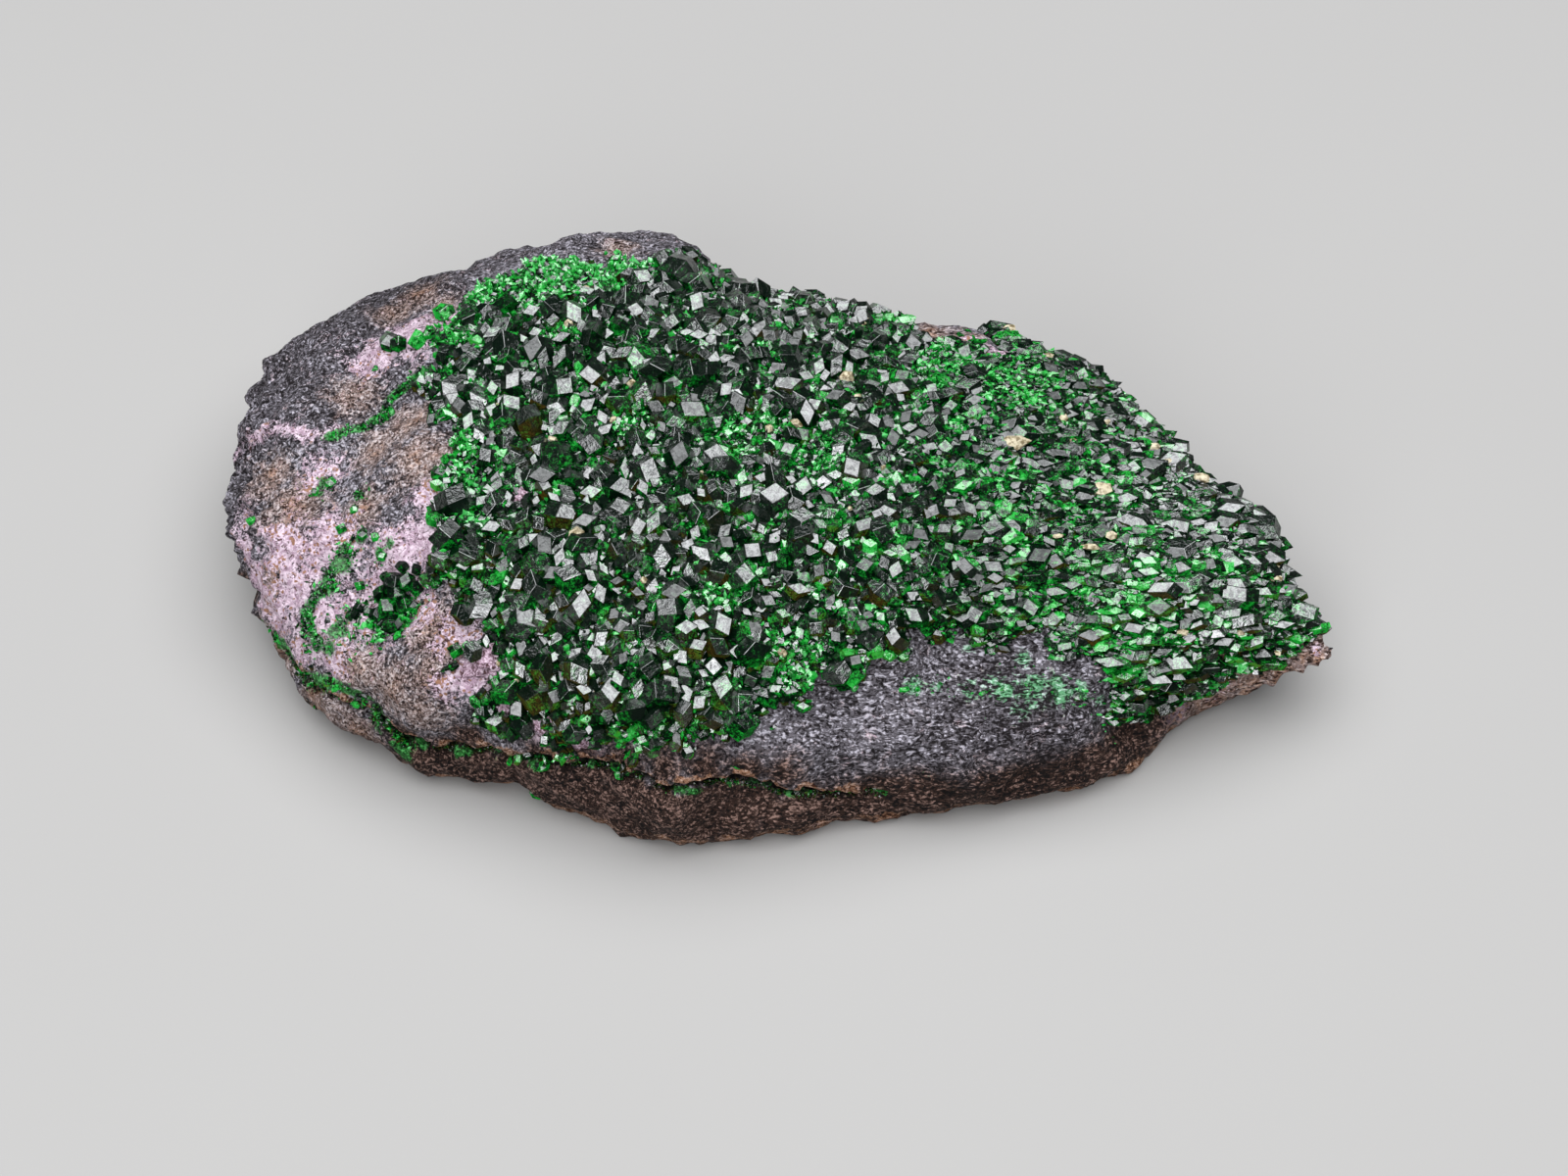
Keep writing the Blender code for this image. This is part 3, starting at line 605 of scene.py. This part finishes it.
def broken_relief(points, normals):
    """Ridges of broken stone: each runs where a layer of waves crosses nought, and sinks away on both sides.

    They're full on the back and the sides, a third on the front, and fade out towards the top.
    """
    steep = ease(0.55, 0.05, normals[..., 2]) * (0.33 + 0.67 * ease(-0.6, 0.0, normals[..., 1]))
    return steep * (0.50 * (0.8 - np.abs(waves(points, 8.0, 81))) + 0.26 * (0.8 - np.abs(waves(points, 3.4, 83))))


def chromite_stone(material):
    """The stone's fine skin: rings of points along s, closed by a fan at each end.

    Waves of a few millimetres down to under one, the crack, and notches in the left end move the
    carved skin along its normal. Nothing goes below the surface that it rests on.
    """
    s, t = np.meshgrid(ring_places(FACES_ALONG)[1:-1], round_places(FACES_ROUND), indexing="ij")
    points, normals = stone_skin(s, t), outward(s, t)
    height = np.zeros(s.shape)
    for wavelength, strength, seed in GRAIN:
        height += strength * waves(points, wavelength, seed)
    left, tip = ease(-34.5, -39.0, points[..., 0]), ease(33.0, 38.0, points[..., 0])
    height += left * (0.28 * waves(points, 2.6, 31) + 0.13 * waves(points, 1.1, 33) - 0.35) - 0.6 * patches(points, WORN)
    height += tip * (0.20 * waves(points, 1.7, 35) + 0.12 * waves(points, 0.8, 36))
    height += broken_relief(points, normals)
    relief, deep, rim = crack_relief(points, normals)
    under_crust = ease(0.2, 1.6, inside_crust(points)) * ease(0.1, 0.4, normals[..., 2])
    fine = points + normals * (height + relief - 0.25 * under_crust)[..., None]
    lilac, rust, film, mint, shade = (patches(points, places) for places in (LILAC, RUST, FILM, MINT, SHADE))
    for line, front, reach, strength in (
        (VEIN_UPPER, False, 0.42, 1.0), (TRAIL, False, 0.50, 0.9),
        (VEIN_LEFT, True, 0.75, 1.0), (CRACK[4:], True, 0.38, 0.72),
    ):
        gaps = ease(-0.9, 0.1, waves(points, 2.6, 29)) if front else 1.0
        film = np.maximum(film, strength * gaps * near_line(points, line, front, reach))
    fine += normals * (0.12 * lilac * waves(points, 1.9, 37))[..., None]
    fine[..., 2] = np.maximum(fine[..., 2], 0.0)
    # Painted shade, partly stain: the slab under the crack, the lowest front, the patches along the front and every
    # face that faces down are marked for a dark umber.
    _, above = from_line(points[..., 0], points[..., 2], CRACK)
    shelf = ease(0.3, -0.5, above) * ease(7.0, -2.0, points[..., 0])
    low = ease(8.0, 3.6, points[..., 2])
    facing = ease(-0.05, -0.4, normals[..., 1])
    brown_and_shade = np.maximum(np.maximum(shelf, low) * ease(-31.0, -25.0, points[..., 0]), patches(points, FRONT_SHADE)) * facing
    brown_and_shade = np.maximum(brown_and_shade, ease(0.1, -0.6, normals[..., 2])) * ease(33.0, 25.0, points[..., 0])
    rim = np.maximum(rim, 0.7 * ease(3.0, 1.2, points[..., 2]) * facing)
    rust = np.maximum(rust, ease(26.0, 30.0, points[..., 0]) * facing)

    ends = stone_skin(np.array([0.0, 1.0]), np.zeros(2))
    count, around = s.shape
    index = np.arange(count * around).reshape(count, around)
    following = np.roll(index, -1, axis=1)
    quads = np.stack([index[:-1], following[:-1], following[1:], index[1:]], axis=-1).reshape(-1, 4)
    first, last = np.full(around, count * around), np.full(around, count * around + 1)
    fans = np.concatenate([
        np.stack([first, following[0], index[0]], axis=-1),
        np.stack([last, index[-1], following[-1]], axis=-1),
    ])
    loops = np.concatenate([quads.ravel(), fans.ravel()])
    counts = np.concatenate([np.full(len(quads), 4), np.full(len(fans), 3)])
    lilac = np.maximum(lilac, 0.62 * near_line(points, LILAC_SEAM, False, 0.6))
    marks = {"lilac": lilac, "rust": rust, "film": film, "mint": mint, "shade": shade, "brown_and_shade": brown_and_shade}
    marks.update({"deep": deep, "rim": rim})
    marks = {name: np.concatenate([value.ravel(), [0.0, 0.0]]) for name, value in marks.items()}
    corners = np.concatenate([fine.reshape(-1, 3), ends])
    nodes = ["chromite_matrix"]
    return put_mesh("chromite_stone", corners, loops, counts, material, nodes, marks, smooth=True)


def bed_rise(points):
    """How much higher the crust's ground stands towards the back right and the tip."""
    x, y = points[..., 0], points[..., 1]
    return 0.15 + 0.30 * ease(-2.0, 8.0, x) * ease(-14.0, -2.0, y + 0.55 * (x - 8.0))


def crust_bed(material):
    """The crust's ground: the stone's skin inside the crust's edge, raised into sand, and closed below.

    Its height eases up from just under the stone at the edge, and short waves roughen it. A copy
    sunk in the stone is its underside, and a strip of faces along every open edge joins the two.
    """
    s, t = np.meshgrid(np.linspace(0.08, 0.995, 250), np.linspace(0.01, 0.52, 170), indexing="ij")
    points, normals = stone_skin(s, t), outward(s, t)
    edge = inside_crust(points)
    rough = 0.5 + 0.22 * waves(points, 1.5, 43) + 0.16 * waves(points, 0.7, 47)
    height = -0.30 + ease(-0.6, 1.4, edge) * (0.45 + 0.55 * rough + bed_rise(points))
    top = points + normals * height[..., None]
    below = points - 0.9 * normals
    index = np.arange(s.size).reshape(s.shape)
    quads = np.stack([index[:-1, :-1], index[:-1, 1:], index[1:, 1:], index[1:, :-1]], axis=-1).reshape(-1, 4)
    kept = quads[(edge.ravel()[quads] > -0.6).all(axis=1)]
    used, kept = np.unique(kept, return_inverse=True)
    kept = kept.reshape(-1, 4)
    starts, stops = kept.ravel(), np.roll(kept, -1, axis=1).ravel()
    single = ~np.isin(starts * len(used) + stops, stops * len(used) + starts)
    a, b = starts[single], stops[single]
    strip = np.stack([b, a, a + len(used), b + len(used)], axis=-1)
    faces = np.concatenate([kept, kept[:, ::-1] + len(used), strip])
    corners = np.concatenate([top.reshape(-1, 3)[used], below.reshape(-1, 3)[used]])
    lilac = np.tile(patches(points, LILAC).ravel()[used], 2)
    counts = np.full(len(faces), 4)
    nodes = ["uvarovite_crust"]
    return put_mesh("crust_bed", corners, faces.ravel(), counts, material, nodes, {"lilac": lilac})


def rhombic_crystal(bevel=0.0):
    """A garnet's shape: twelve rhombi, each between two of a cube's corners and two points over its faces.

    The cube's side is 2 and the points stand 2 from its middle. With a bevel, each rhombus
    shrinks by it and a six-sided facet lies along every edge.
    """
    corners, faces = [], []
    number = {}

    def corner(key, place):
        if key not in number:
            number[key] = len(corners)
            corners.append(place)
        return number[key]

    edges = {}
    for a in range(3):
        for b in range(a + 1, 3):
            c = 3 - a - b
            for side_a in (-1, 1):
                for side_b in (-1, 1):
                    middle = np.zeros(3)
                    middle[a], middle[b] = side_a, side_b
                    rhombus = []
                    for kind, sign in (("tip", a), ("cube", 1), ("tip", b), ("cube", -1)):
                        point = middle.copy()
                        if kind == "tip":
                            point = np.zeros(3)
                            point[sign] = 2 * middle[sign]
                        else:
                            point[c] = sign
                        rhombus.append(point)
                    turn = np.cross(rhombus[1] - rhombus[0], rhombus[2] - rhombus[1])
                    if turn @ middle < 0:
                        rhombus.reverse()
                    face = []
                    for i, point in enumerate(rhombus):
                        key = tuple(point)
                        if bevel:
                            inner = middle + (1.0 - 4.0 * bevel) * (point - middle)
                            face.append(corner((key, tuple(middle)), inner))
                            other = tuple(rhombus[(i + 1) % 4])
                            edges[key, other] = tuple(middle)
                        else:
                            face.append(corner(key, point))
                    faces.append(face)
    for (key, other), middle in list(edges.items()):
        if (other, key) in edges and key < other:
            across = edges[other, key]
            tips = [corner(end, (1.0 - bevel) * np.array(end)) for end in (key, other)]
            near = [number[end, middle] for end in (key, other)]
            away = [number[end, across] for end in (key, other)]
            faces.append([tips[0], away[0], away[1], tips[1], near[1], near[0]])
    return np.array(corners, float), faces


def splinter():
    """A shard: a flat octahedron, eight three-sided faces."""
    corners = np.concatenate([np.eye(3), -np.eye(3)]) * (1.35, 0.85, 0.5)
    faces = []
    for x in (0, 3):
        for y in (1, 4):
            for z in (2, 5):
                face = [x, y, z]
                turn = np.cross(corners[y] - corners[x], corners[z] - corners[y])
                if turn @ corners[face].sum(axis=0) < 0:
                    face.reverse()
                faces.append(face)
    return corners, faces


def random_turns(random, count):
    """Turns drawn evenly from all there are: four normal numbers, made one long, are a quaternion."""
    quaternions = random.normal(size=(4, count))
    w, x, y, z = quaternions / np.linalg.norm(quaternions, axis=0)
    rows = [
        1 - 2 * (y * y + z * z), 2 * (x * y - z * w), 2 * (x * z + y * w),
        2 * (x * y + z * w), 1 - 2 * (x * x + z * z), 2 * (y * z - x * w),
        2 * (x * z - y * w), 2 * (y * z + x * w), 1 - 2 * (x * x + y * y),
    ]
    return np.stack(rows, axis=1).reshape(-1, 3, 3)


def grow(name, shape, places, sizes, random, material, nodes, tones, olive_and_painted_lights, uneven=0.12, shine=1.0):
    """One shape carried to many places: warped a little, turned at random, sized and moved.

    A warp multiplies the corners by a matrix of ones on the diagonal and small random numbers, so
    flat faces stay flat. Towards the right the crystals lie flat: drawn out along the stone, and
    pressed down.
    """
    corners, faces = shape
    count = len(places)
    warps = np.eye(3) + random.uniform(-uneven, uneven, (count, 3, 3))
    shaped = np.einsum("nij,kj->nki", warps * sizes[:, None, None], corners)
    flat = ease(4.0, 20.0, places[:, :1]) * np.array([0.38, -0.12, -0.38])
    turned = np.einsum("nij,nkj->nki", random_turns(random, count), shaped)
    moved = turned * (1.0 + flat)[:, None, :] + places[:, None, :]
    moved[..., 2] = np.maximum(moved[..., 2], 0.02)
    a, b, c = (moved[:, [face[k] for face in faces]] for k in range(3))
    facing = np.cross(b - a, c - b)
    facing /= np.maximum(np.linalg.norm(facing, axis=-1, keepdims=True), 1e-12)
    once = np.concatenate([np.array(face) for face in faces])
    loops = (once + np.arange(count)[:, None] * len(corners)).ravel()
    counts = np.tile([len(face) for face in faces], count)
    dim = 0.35 * ease(4.0, 14.0, places[:, 0]) * ease(27.0, 21.0, places[:, 0])
    marks = {"tone": tones, "olive_and_painted_light": olive_and_painted_lights, "shine": shine * (1.0 - dim)}
    marks = {mark: np.repeat(values, len(corners)) for mark, values in marks.items()}
    facets = {"facet": random.random(len(counts)), "up": facing[..., 2].ravel()}
    return put_mesh(name, moved.reshape(-1, 3), loops, counts, material, nodes, marks, facets)


def sow(count, random):
    """Values of s and t sown over the upper skin, as thickly everywhere as the skin has area."""
    s_edges, t_edges = np.linspace(0.02, 0.995, 401), np.linspace(-0.02, 0.60, 221)
    skin = smooth_skin(*np.meshgrid(s_edges, t_edges, indexing="ij"))
    across, along = skin[:-1, 1:] - skin[:-1, :-1], skin[1:, :-1] - skin[:-1, :-1]
    areas = np.linalg.norm(np.cross(across, along), axis=-1)
    picked = random.choice(areas.size, count, p=(areas / areas.sum()).ravel())
    i, j = np.unravel_index(picked, areas.shape)
    s = s_edges[i] + random.random(count) * (s_edges[1] - s_edges[0])
    t = t_edges[j] + random.random(count) * (t_edges[1] - t_edges[0])
    return s, t


def settle(places, sizes, closeness):
    """Which crystals have room: from the largest down, one stays unless a larger one that stays is too near."""
    order = np.argsort(-sizes, kind="stable")
    tree = KDTree(len(places))
    for rank, i in enumerate(order):
        tree.insert(places[i], rank)
    tree.balance()
    free = np.ones(len(places), bool)
    kept = []
    for rank, i in enumerate(order):
        if not free[rank]:
            continue
        kept.append(i)
        reach = 2.0 * closeness * sizes[i]
        for _, other, distance in tree.find_range(places[i], reach):
            if other > rank and distance < closeness * (sizes[i] + sizes[order[other]]):
                free[other] = False
    return np.array(kept)


def crust_crystals(material):
    """The crust's crystals, sown by size and thinned to those with room, with shards between them."""
    random = np.random.default_rng(41)
    count = 90000
    s, t = sow(count, random)
    points, normals = stone_skin(s, t), outward(s, t)
    edge = inside_crust(points)
    fine = patches(points, FINE) + 0.12 * waves(points, 2.0, 53)
    bright = np.maximum(fine, patches(points, BRIGHT))
    x = points[:, 0]
    right = ease(-6.0, 12.0, x)
    pick = random.random(count)
    sizes = np.select(
        [pick < 0.010, pick < 0.08 + 0.06 * right, pick < 0.45],
        [random.uniform(0.48, 0.72, count), random.uniform(0.33, 0.50, count), random.uniform(0.22, 0.33, count)],
        random.uniform(0.14, 0.22, count),
    )
    sizes *= 1.05 - 0.27 * right + 0.14 * ease(24.0, 32.0, x)
    sizes *= 1.0 + 0.16 * ease(8.0, 14.0, x) * ease(-16.0, -10.0, points[:, 1]) * ease(2.2, 0.9, edge)
    room = edge > np.select([sizes > 0.5, sizes > 0.3], [0.7, 0.3], -0.15)
    coarse = (fine < 0.40) | (sizes < 0.24 + 0.05 * right)
    up = normals[:, 2] > 0.0
    bare = patches(points, LILAC) > 0.40 + 0.3 * random.random(count)
    chosen = np.nonzero(room & coarse & up & ~bare)[0]
    lift = 0.22 + bed_rise(points) * ease(-0.3, 1.2, edge) + sizes * random.uniform(0.25, 1.0, count)
    centres = points + normals * lift[:, None]
    kept = chosen[settle(centres[chosen], sizes[chosen] * 1.41, 0.60)]
    tones = random.normal(0.11, 0.28, count) + 0.26 * np.clip(bright, 0.0, 1.0)
    tones = np.clip(tones, 0.0, 1.0) * (0.35 + 0.65 * ease(0.52, 0.32, sizes))
    # Painted light: more crystals towards the front carry the khaki tint on facets that face down.
    olive_and_painted_lights = (random.random(count) < 0.20 + 0.25 * ease(-8.0, -20.0, points[:, 1])) * random.uniform(0.3, 1.0, count)
    nodes = ["uvarovite_crust"]
    large, middle = kept[sizes[kept] > 0.42], kept[(sizes[kept] <= 0.42) & (sizes[kept] > 0.25)]
    small = kept[sizes[kept] <= 0.25]
    for name, shape, part, uneven in (
        ("crust_crystals_large", rhombic_crystal(0.012), large, 0.20),
        ("crust_crystals_middle", rhombic_crystal(), middle, 0.27),
        ("crust_crystals_small", rhombic_crystal(), small, 0.32),
    ):
        grow(name, shape, centres[part], sizes[part], random, material, nodes, tones[part], olive_and_painted_lights[part], uneven)

    count = 60000
    s, t = sow(count, random)
    points, normals = stone_skin(s, t), outward(s, t)
    edge = inside_crust(points)
    fine = patches(points, FINE) + 0.12 * waves(points, 2.0, 53)
    wanted = (edge > -0.35) & (normals[:, 2] > 0.0) & (patches(points, LILAC) < 0.6)
    wanted &= random.random(count) < 0.22 + 0.75 * ease(0.2, 0.7, fine)
    part = np.nonzero(wanted)[0]
    sizes = random.uniform(0.13, 0.30, count)
    centres = points + normals * (0.25 + bed_rise(points) * ease(-0.3, 1.2, edge) + random.uniform(0.0, 0.75, count))[:, None]
    # Painted highlight: shards towards the back get a higher tone, so more fire and pale mint.
    back = 0.30 * ease(5.0, 9.0, points[:, 1])
    tones = np.clip(random.normal(0.28, 0.32, count) + (0.42 + back) * np.clip(fine, 0.0, 1.0), 0.0, 1.3)
    olive_and_painted_lights = (random.random(count) < 0.04) * 0.8
    grow(
        "crust_shards", splinter(), centres[part], sizes[part], random, material, nodes,
        tones[part], olive_and_painted_lights[part], 0.30, 0.9,
    )


def on_skin(points, front):
    """The s and t of places on the skin: by x and z on the front, or by x and y from above.

    The nearest of some values of t is found first, and then the nearest of closer ones about it.
    """
    table = np.linspace(0.0, 1.0, 2001)
    s = np.interp([point[0] for point in points], along_stations(table)[:, 0], table)
    wanted = np.array([point[1] for point in points])[:, None]
    low, high = (0.36, 0.72) if front else (0.0, 0.56)
    t, reach = np.full(len(s), (low + high) / 2.0), (high - low) / 2.0
    for steps in (61, 25):
        ring = t[:, None] + np.linspace(-reach, reach, steps)
        skin = stone_skin(np.repeat(s[:, None], steps, axis=1), ring)
        nearest = np.abs(skin[..., 2 if front else 1] - wanted).argmin(axis=1)
        t = np.take_along_axis(ring, nearest[:, None], axis=1)[:, 0]
        reach = 2.0 * reach / (steps - 1)
    return s, t


def along_line(line, count, low=0.0, high=1.0):
    """Points shared out along a line of points, between two shares of its length."""
    line = np.array(line, float)
    run = np.concatenate([[0.0], np.cumsum(np.linalg.norm(np.diff(line, axis=0), axis=1))])
    at = np.linspace(low, high, count) * run[-1]
    return np.stack([np.interp(at, run, line[:, k]) for k in range(line.shape[1])], axis=1)


def strew(name, shape, places, front, lift, sizes, tone, tinted_share, random, material, nodes):
    """Small crystals or shards of one shape at places on the stone, with gaps where waves run low.

    Their sizes are drawn so that most are small, and a share of them is tinted khaki: partly their own colour, partly
    painted light.
    """
    s, t = on_skin(places, front)
    points, normals = stone_skin(s, t), outward(s, t)
    room = waves(points, 1.3, 61) + random.normal(0.0, 0.4, len(points)) > -0.55
    points, normals = points[room], normals[room]
    count = len(points)
    drawn = sizes[0] + (sizes[1] - sizes[0]) * random.random(count) ** 2.0
    centres = points + normals * (lift + random.uniform(-0.12, 0.20, count))[:, None]
    tones = np.clip(random.normal(tone, 0.35, count), 0.0, 1.2)
    olive_and_painted_lights = (random.random(count) < tinted_share) * random.uniform(0.5, 1.0, count)
    grow(name, shape, centres, drawn, random, material, nodes, tones, olive_and_painted_lights, 0.32, 0.4)


def strand(name, line, front, width, lift, counts, sizes, tone, tinted_share, seed, material, nodes):
    """Crystals and shards strewn along a line on the stone, thickest in its middle.

    A bulge runs along it, straight between random values, that widens and fills the strand.
    """
    random = np.random.default_rng(seed)
    for part, shape, count in zip(("crystals", "shards"), (rhombic_crystal(), splinter()), counts):
        bulge = np.interp(np.linspace(0.0, 13.0, count), np.arange(14), random.uniform(0.15, 1.6, 14))
        places = along_line(line, count) + random.normal(0.0, width, (count, 2)) * (0.3 + bulge[:, None])
        places = places[random.random(count) < 0.2 + bulge]
        strew(f"{name}_{part}", shape, places, front, lift, sizes, tone, tinted_share, random, material, nodes)


def cluster(name, members, seed, material, nodes, tone=0.2, shine=1.0):
    """Single crystals, listed one by one: x, y, size and how high the middle stands, in its sizes."""
    random = np.random.default_rng(seed)
    members = np.array(members, float)
    s, t = on_skin(members[:, :2], False)
    points, normals = stone_skin(s, t), outward(s, t)
    sizes = members[:, 2]
    centres = points + normals * (sizes * members[:, 3])[:, None]
    tones = np.clip(random.normal(tone, 0.12, len(members)), 0.0, 1.0)
    olive_and_painted_lights = np.zeros(len(members))
    grow(name, rhombic_crystal(0.02), centres, sizes, random, material, nodes, tones, olive_and_painted_lights, 0.10, shine)


def small_growths(garnet, cream):
    """What grows on the bare stone: the veins, the group and trail at the left, and single crystals."""
    strand("vein_upper", VEIN_UPPER, False, 0.15, 0.02, (30, 1100), (0.07, 0.19), 0.28, 0.05, 61, garnet, ["vein_upper"])
    strand("vein_left", VEIN_LEFT, True, 0.32, -0.08, (90, 3200), (0.07, 0.23), 0.18, 0.45, 62, garnet, ["vein_left"])
    strand("vein_front", CRACK[5:], True, 0.17, -0.34, (30, 1700), (0.06, 0.15), -0.15, 0.75, 63, garnet, ["vein_front"])
    strand("trail_left", TRAIL, False, 0.28, 0.02, (50, 1400), (0.07, 0.22), 0.25, 0.10, 64, garnet, ["trail_left"])
    group = (
        (-27.1, -15.5, 0.50, 0.8), (-26.3, -17.0, 0.46, 0.7), (-27.6, -16.7, 0.48, 0.9), (-28.5, -16.8, 0.38, 0.6),
        (-28.3, -15.5, 0.36, 0.5), (-27.3, -17.9, 0.42, 0.5), (-26.0, -15.9, 0.42, 0.7), (-29.2, -16.6, 0.28, 0.5),
        (-29.9, -16.2, 0.26, 0.5), (-30.4, -16.5, 0.22, 0.4), (-25.3, -16.6, 0.30, 0.4), (-28.9, -17.4, 0.28, 0.3),
        (-26.8, -16.3, 0.44, 1.4), (-25.6, -17.5, 0.28, 0.4), (-28.1, -17.6, 0.32, 0.5), (-26.3, -14.9, 0.30, 0.4),
        (-27.9, -14.7, 0.26, 0.4), (-25.2, -15.6, 0.24, 0.4), (-26.7, -18.3, 0.30, 0.4),
    )
    cluster("cluster_left_crystals", group, 65, garnet, ["cluster_left"], 0.15, 0.45)
    skirt = ((-30.4, -16.4), (-29.0, -17.2), (-27.8, -18.2), (-26.4, -18.2), (-25.6, -17.0))
    strand("cluster_left_skirt", skirt, False, 0.45, 0.10, (50, 900), (0.08, 0.24), 0.35, 0.08, 66, garnet, ["cluster_left"])
    cluster("crystal_upper_left_pair", ((-28.1, 4.9, 0.50, 0.6), (-27.4, 4.4, 0.44, 0.6)), 67, garnet, ["crystal_upper_left"])
    cluster("crystal_upper_middle_single", ((-25.8, 4.0, 0.40, 0.5),), 68, garnet, ["crystal_upper_middle"], 0.5)
    cluster("crystal_upper_back_single", ((-24.3, 7.6, 0.44, 0.6),), 69, garnet, ["crystal_upper_back"], 0.5)
    dots = (
        (-29.9, -14.6, 0.24, 0.5), (-29.4, -11.8, 0.26, 0.4), (-28.3, -12.3, 0.24, 0.4), (-31.0, -10.8, 0.22, 0.3),
        (-32.3, -6.3, 0.24, 0.3), (-33.5, -6.7, 0.18, 0.3), (-37.4, -7.8, 0.22, 0.4), (-30.1, -9.6, 0.20, 0.3),
        (-28.0, -13.6, 0.22, 0.3), (-22.3, -21.1, 0.30, 0.4), (-21.5, -20.9, 0.26, 0.4), (-19.4, -22.6, 0.36, 0.5),
        (-17.2, -24.2, 0.30, 0.5), (-29.2, 3.0, 0.18, 0.3),
    )
    cluster("lilac_patch_crystals", dots, 70, garnet, ["trail_left"], 0.5)
    random = np.random.default_rng(72)
    spots = np.repeat(np.array(FILM)[:, :2], 45, axis=0)
    spots += random.normal(0.0, 0.38, spots.shape)
    strew(
        "lilac_patch_shards", splinter(), spots, False, -0.02, (0.06, 0.20), 0.35, 0.05,
        random, garnet, ["trail_left"],
    )
    band = ((8.6, -23.4), (11.0, -23.2), (13.3, -22.9), (15.4, -22.8), (18.0, -22.7), (20.9, -22.5), (23.5, -22.6))
    strand("scoop_band", band, False, 0.50, -0.02, (20, 160), (0.06, 0.16), 0.5, 0.0, 71, garnet, ["uvarovite_crust"])

    random = np.random.default_rng(73)
    s, t = sow(5000, random)
    points, normals = stone_skin(s, t), outward(s, t)
    part = np.nonzero((inside_crust(points) > 0.8) & (normals[:, 2] > 0.1))[0][:55]
    sizes = random.uniform(0.11, 0.23, len(part))
    centres = points[part] + normals[part] * (bed_rise(points[part])[:, None] + random.uniform(0.6, 1.0, (len(part), 1)))
    flat = np.zeros(len(part))
    grow(
        "cream_grains", rhombic_crystal(), centres, sizes, random, cream, ["uvarovite_crust"],
        flat, flat, 0.30,
    )
    lumps = ((16.4, -5.6, 0.44, 2.6), (-13.9, -15.0, 0.40, 3.0), (22.6, -8.1, 0.42, 2.6), (4.7, -0.2, 0.34, 3.0))
    cluster("cream_grains_large", lumps, 74, cream, ["uvarovite_crust"])


def studio(floor):
    """A pale table, a broad lamp overhead, a weak one beside the camera, and a dim room."""
    size = 1.2
    mesh = bpy.data.meshes.new("table")
    corners = [(-size, -size, -2e-5), (size, -size, -2e-5), (size, size, -2e-5), (-size, size, -2e-5)]
    mesh.from_pydata(corners, [], [(0, 1, 2, 3)])
    mesh.materials.append(floor)
    table = bpy.data.objects.new("table", mesh)
    bpy.context.scene.collection.objects.link(table)

    world = bpy.data.worlds.new("room")
    world.use_nodes = True
    world.node_tree.nodes["Background"].inputs["Color"].default_value = (0.93, 0.95, 1.0, 1.0)
    world.node_tree.nodes["Background"].inputs["Strength"].default_value = 0.045
    bpy.context.scene.world = world

    for name, place, across, watts in (
        ("lamp overhead", (0.0, -0.02, 0.60), 1.05, 11.5),
        ("lamp by the camera", (-0.25, -0.75, 0.50), 0.50, 4.4),
    ):
        light = bpy.data.lights.new(name, "AREA")
        light.shape = "DISK"
        light.size = across
        light.energy = watts
        light.color = (0.96, 0.97, 1.0)
        lamp = bpy.data.objects.new(name, light)
        lamp.location = place
        lamp.rotation_euler = (Vector((0.0, 0.0, 0.01)) - Vector(place)).to_track_quat("-Z", "Y").to_euler()
        bpy.context.scene.collection.objects.link(lamp)


def photo_camera():
    """The photograph's view: 317 mm from a point in the stone, 48 degrees above the table."""
    elevation, distance = math.radians(48.0), 317.0
    aim = Vector((0.61, -3.04, 4.0)) * MM
    eye = aim + Vector((0.0, -math.cos(elevation), math.sin(elevation))) * distance * MM
    lens = bpy.data.cameras.new("camera")
    lens.lens = 100.0
    lens.sensor_width = 36.0
    lens.clip_start = 0.01
    camera = bpy.data.objects.new("camera", lens)
    camera.location = eye
    camera.rotation_euler = (aim - eye).to_track_quat("-Z", "Y").to_euler()
    bpy.context.scene.collection.objects.link(camera)
    bpy.context.scene.camera = camera
    bpy.context.scene.view_settings.view_transform = "Standard"


garnet = garnet_material()
chromite_stone(chromite_material())
crust_bed(bed_material())
crust_crystals(garnet)
small_growths(garnet, cream_material())
studio(floor_material())
photo_camera()
